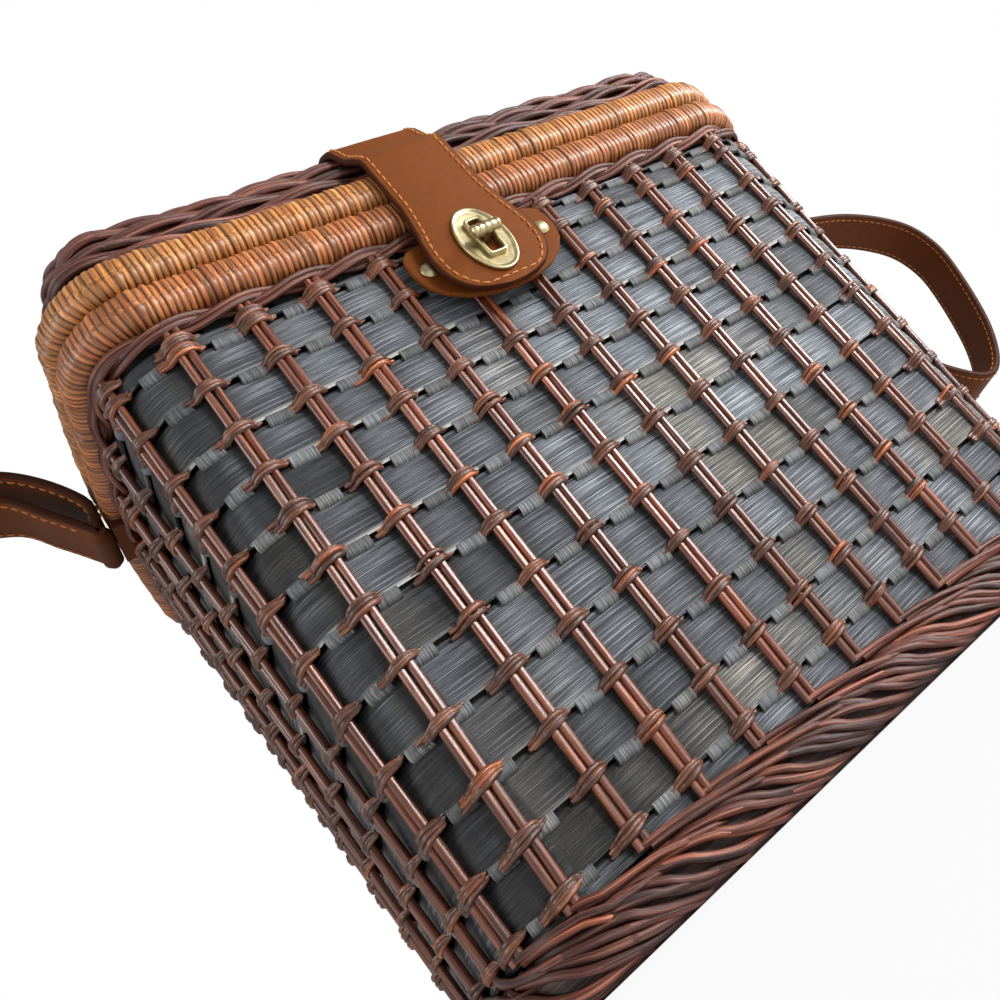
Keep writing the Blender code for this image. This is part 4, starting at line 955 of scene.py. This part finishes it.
for side_name, side in (("left", -1.0), ("right", 1.0)):
    within = tongue_line[:, 2] > tongue_tip_z + stitch_inset * 0.8
    row, lift = edge_line(
        tongue_line[within], tongue_normal[within], tongue_half[within], hide_thickness, side, stitch_inset
    )
    if side < 0.0:
        end = np.linspace(row[-1], row[-1] * (-1.0, 1.0, 1.0) + (2.0 * clasp_x, 0.0, 0.0), 24)[1:]
        top = np.linspace(row[0] * (-1.0, 1.0, 1.0) + (2.0 * clasp_x, 0.0, 0.0), row[0], 24)[:-1]
        row = np.concatenate([top, row, end])
        lift = np.concatenate([np.tile(lift[0], (23, 1)), lift, np.tile(lift[-1], (23, 1))])
    stitches = stitch_row(f"tongue_thread_{side_name}", row, lift, None)
    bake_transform(stitches)

# Clasp backing: a bowed leather plate on the front rods, held by two domed brass studs; the
# lock's brass base stands on it under the tongue, and two rivets hold the tongue to the lid.
eased_copy("clasp_backing", "tub", 0.7 * mm, tan_hide)
brass = plain_finish(
    "brass", (0.38, 0.31, 0.16), (0.66, 0.57, 0.34), 260.0, 0.34, 0.00003, metal=1.0
)
for node in ("backing_stud_left", "backing_stud_right", "lock_base"):
    eased_copy(node, "tub", 0.25 * mm, brass)
for node in ("tongue_rivet_left", "tongue_rivet_right"):
    eased_copy(node, "lid", 0.0, brass)

# Turn lock: an oval brass plate with a raised rim and a sunk field, a square frame round its
# slot, and a barrel knob on a stem that turns across the slot to lock.
lock_z = 221.0 * mm


def grid_of(x, y, z):
    """Points, with a last axis of three, from coordinates that are spread to one shape."""
    return np.stack(np.broadcast_arrays(x, y, z), -1)


def box_round(half_wide, half_high, angle, power):
    """Points of a squared oval: |x/a|^n + |z/b|^n = 1 at each angle from the middle."""
    cos, sin = np.cos(angle), np.sin(angle)
    far = (np.abs(cos / half_wide) ** power + np.abs(sin / half_high) ** power) ** (-1.0 / power)
    return np.stack([far * cos, far * sin], -1)


def pierced_plate(name, outer, inner, shares, depths, front_y, material, body, node):
    """Plate between an outer and an inner outline: each ring lies a share of the way out from
    the inner one, at its own depth; the rings close on themselves round the plate's section."""
    rings = inner[None] + np.asarray(shares)[:, None, None] * (outer - inner)[None]
    y = front_y + np.asarray(depths)[:, None]
    grid = grid_of(rings[..., 0] + clasp_x, y, rings[..., 1] + lock_z)
    piece = skin(name, np.swapaxes(grid, 0, 1)[None], material, body, "brass", loop_u=True, wear=0.0)
    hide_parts(node)


ring_angle = round_phase(96)
slot_edge = box_round(2.9 * mm, 8.5 * mm, ring_angle, 9.0)
plate_y, frame_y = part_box("slot_plate")[0][1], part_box("slot_frame")[0][1]
pierced_plate(
    "lock_plate", box_round(10.0 * mm, 17.0 * mm, ring_angle, 2.0), slot_edge,
    (0.0, 0.0, 0.04, 0.70, 0.78, 0.84, 0.93, 0.985, 1.0, 1.0, 0.97),
    np.array([1.5, 0.62, 0.55, 0.55, 0.5, 0.08, 0.0, 0.14, 0.5, 1.3, 1.5]) * mm,
    plate_y, brass, "tongue", "slot_plate",
)
pierced_plate(
    "lock_frame", box_round(4.1 * mm, 9.7 * mm, ring_angle, 9.0), slot_edge,
    (0.0, 0.0, 0.2, 0.8, 1.0, 1.0), np.array([2.2, 0.25, 0.0, 0.0, 0.25, 2.2]) * mm,
    frame_y, brass, "tongue", "slot_frame",
)
knob_radius, knob_half, knob_gap = 2.6 * mm, 6.25 * mm, 0.5 * mm
knob_least, groove_depth = 0.9 * mm, 0.28 * mm
knob_y = frame_y - knob_gap - knob_radius
barrel_x = np.linspace(-1.0, 1.0, 61)
groove = groove_depth * (np.cos(barrel_x * np.pi * 5.0) < -0.35)
barrel_radius = (knob_radius - groove) * np.clip(1.0 - np.abs(barrel_x) ** 14, 0.0, 1.0) ** 0.5
barrel_radius = np.maximum(barrel_radius, knob_least)[:, None]
angle = round_phase(28)
barrel = grid_of(
    (clasp_x + barrel_x * knob_half)[:, None], knob_y + barrel_radius * np.cos(angle),
    lock_z + barrel_radius * np.sin(angle),
)
knob = skin("knob_barrel", barrel[None], brass, "knob", "brass", wear=0.0)
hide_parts("turn_knob")
stem_y = np.linspace(knob_y + 0.8 * mm, plate_y + 0.9 * mm, 9)[:, None]
stem_ring = box_round(1.75 * mm, 1.75 * mm, angle, 5.0)
stem = grid_of(clasp_x + stem_ring[:, 0], stem_y, lock_z + stem_ring[:, 1])
skin("knob_stem", stem[None], brass, "knob", "brass", wear=0.0)

# Hinges at the back: at each of two places a leather leaf on the tub and one on the lid are
# turned round one brass pin. The rivets of the side straps' roots are placed here too.
for side in ("left", "right"):
    eased_copy(f"hinge_leaf_body_{side}", "tub", 0.3 * mm, strap_hide)
    eased_copy(f"hinge_leaf_lid_{side}", "lid", 0.3 * mm, strap_hide)
    eased_copy(f"hinge_pin_{side}", "tub", 0.2 * mm, brass)
    eased_copy(f"strap_rivet_{side}", "tub", 0.0, brass)

# Side straps: a root that comes from inside the lining under the body rim, and a long loop of
# the same hide that hangs from its end, stitched along both edges on both faces.
strap_reach, strap_half, strap_thickness = 129.0 * mm, 14.0 * mm, 3.2 * mm
head_x, head_z, head_radius = 163.4 * mm, 244.2 * mm, 3.6 * mm
loop_shares = {
    "right": (
        (0.35, -0.03), (0.70, -0.124), (0.93, -0.29), (1.0, -0.46), (0.966, -0.659), (0.819, -0.984),
        (0.633, -1.163), (0.47, -1.078), (0.245, -0.729), (0.09, -0.38), (0.036, -0.147),
    ),
    "left": (
        (0.09, 0.132), (0.19, 0.256), (0.40, 0.31), (0.633, 0.20), (0.811, -0.07), (0.865, -0.419),
        (0.88, -0.651), (0.935, -0.721), (0.985, -0.651), (1.0, -0.419), (0.935, -0.031),
        (0.718, 0.31), (0.408, 0.419), (0.152, 0.333), (0.0, 0.14),
    ),
}


def through_points(points, steps):
    """Smooth curve through points: between two of them it is the Catmull-Rom cubic, whose slope
    at a point is half the step from its neighbour before to its neighbour after."""
    points = np.asarray(points, float)
    padded = np.concatenate([[2.0 * points[0] - points[1]], points, [2.0 * points[-1] - points[-2]]])
    a, b, c, d = padded[:-3, None], padded[1:-2, None], padded[2:-1, None], padded[3:, None]
    t = (np.arange(steps) / steps)[None, :, None]
    curve = b + 0.5 * ((c - a) * t + (2.0 * a - 5.0 * b + 4.0 * c - d) * t ** 2
                       + (3.0 * b - a - 3.0 * c + d) * t ** 3)
    return np.concatenate([curve.reshape(-1, points.shape[1]), points[-1:]])


y_way = np.array([0.0, 1.0, 0.0])
roll_half, bend_in, cover = 13.7 * mm, 1.0 * mm, 0.51
turn = round_phase(24)
reach_y = np.linspace(-1.0, 1.0, 9)[:, None]
roll_radius = head_radius * np.clip(1.0 - np.abs(reach_y) ** 16, 0.3, 1.0) ** 0.5
for side_name, side in (("left", -1.0), ("right", 1.0)):
    loop_body = f"loop_{side_name}"
    head = np.array([side * head_x, 0.0, head_z])
    shares = np.array(loop_shares[side_name])
    course = head + grid_of(side * shares[:, 0], 0.0, shares[:, 1]) * strap_reach
    line = through_points(np.concatenate([[head], course, [head]]), 16)
    loop, normal = hide_band(
        f"strap_loop_{side_name}_hide", line, y_way, strap_half, strap_thickness, strap_hide, loop_body
    )
    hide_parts(f"strap_loop_{side_name}")
    roll = grid_of(
        head[0] + roll_radius * np.cos(turn), reach_y * roll_half, head[2] + roll_radius * np.sin(turn)
    )
    skin(f"strap_head_{side_name}", roll[None], strap_hide, loop_body, "leather", wear=0.35)
    for face_name, face in (("outer", 1.0), ("inner", -1.0)):
        for edge_name, edge in (("front", -1.0), ("back", 1.0)):
            row = line + normal * (face * strap_thickness * cover)
            row = row + y_way * edge * (strap_half - stitch_inset)
            stitch_row(
                f"strap_thread_{side_name}_{face_name}_{edge_name}", row[6:-6], normal[6:-6] * face, loop_body
            )
    root_low, root_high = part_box(f"strap_root_{side_name}")
    inner_x, outer_x = (root_low[0], root_high[0]) if side > 0.0 else (root_high[0], root_low[0])
    down_x = inner_x + side * strap_thickness / 2.0
    root_line = eased_line([
        (down_x, 0.0, root_low[2]), (down_x, 0.0, head_z - bend_in),
        (down_x + side * bend_in, 0.0, head_z), (outer_x, 0.0, head_z),
    ], 80, 5.0 * mm)
    root, _ = hide_band(
        f"strap_root_{side_name}_hide", root_line, y_way, strap_half, strap_thickness, strap_hide, "tub"
    )
    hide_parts(f"strap_root_{side_name}")
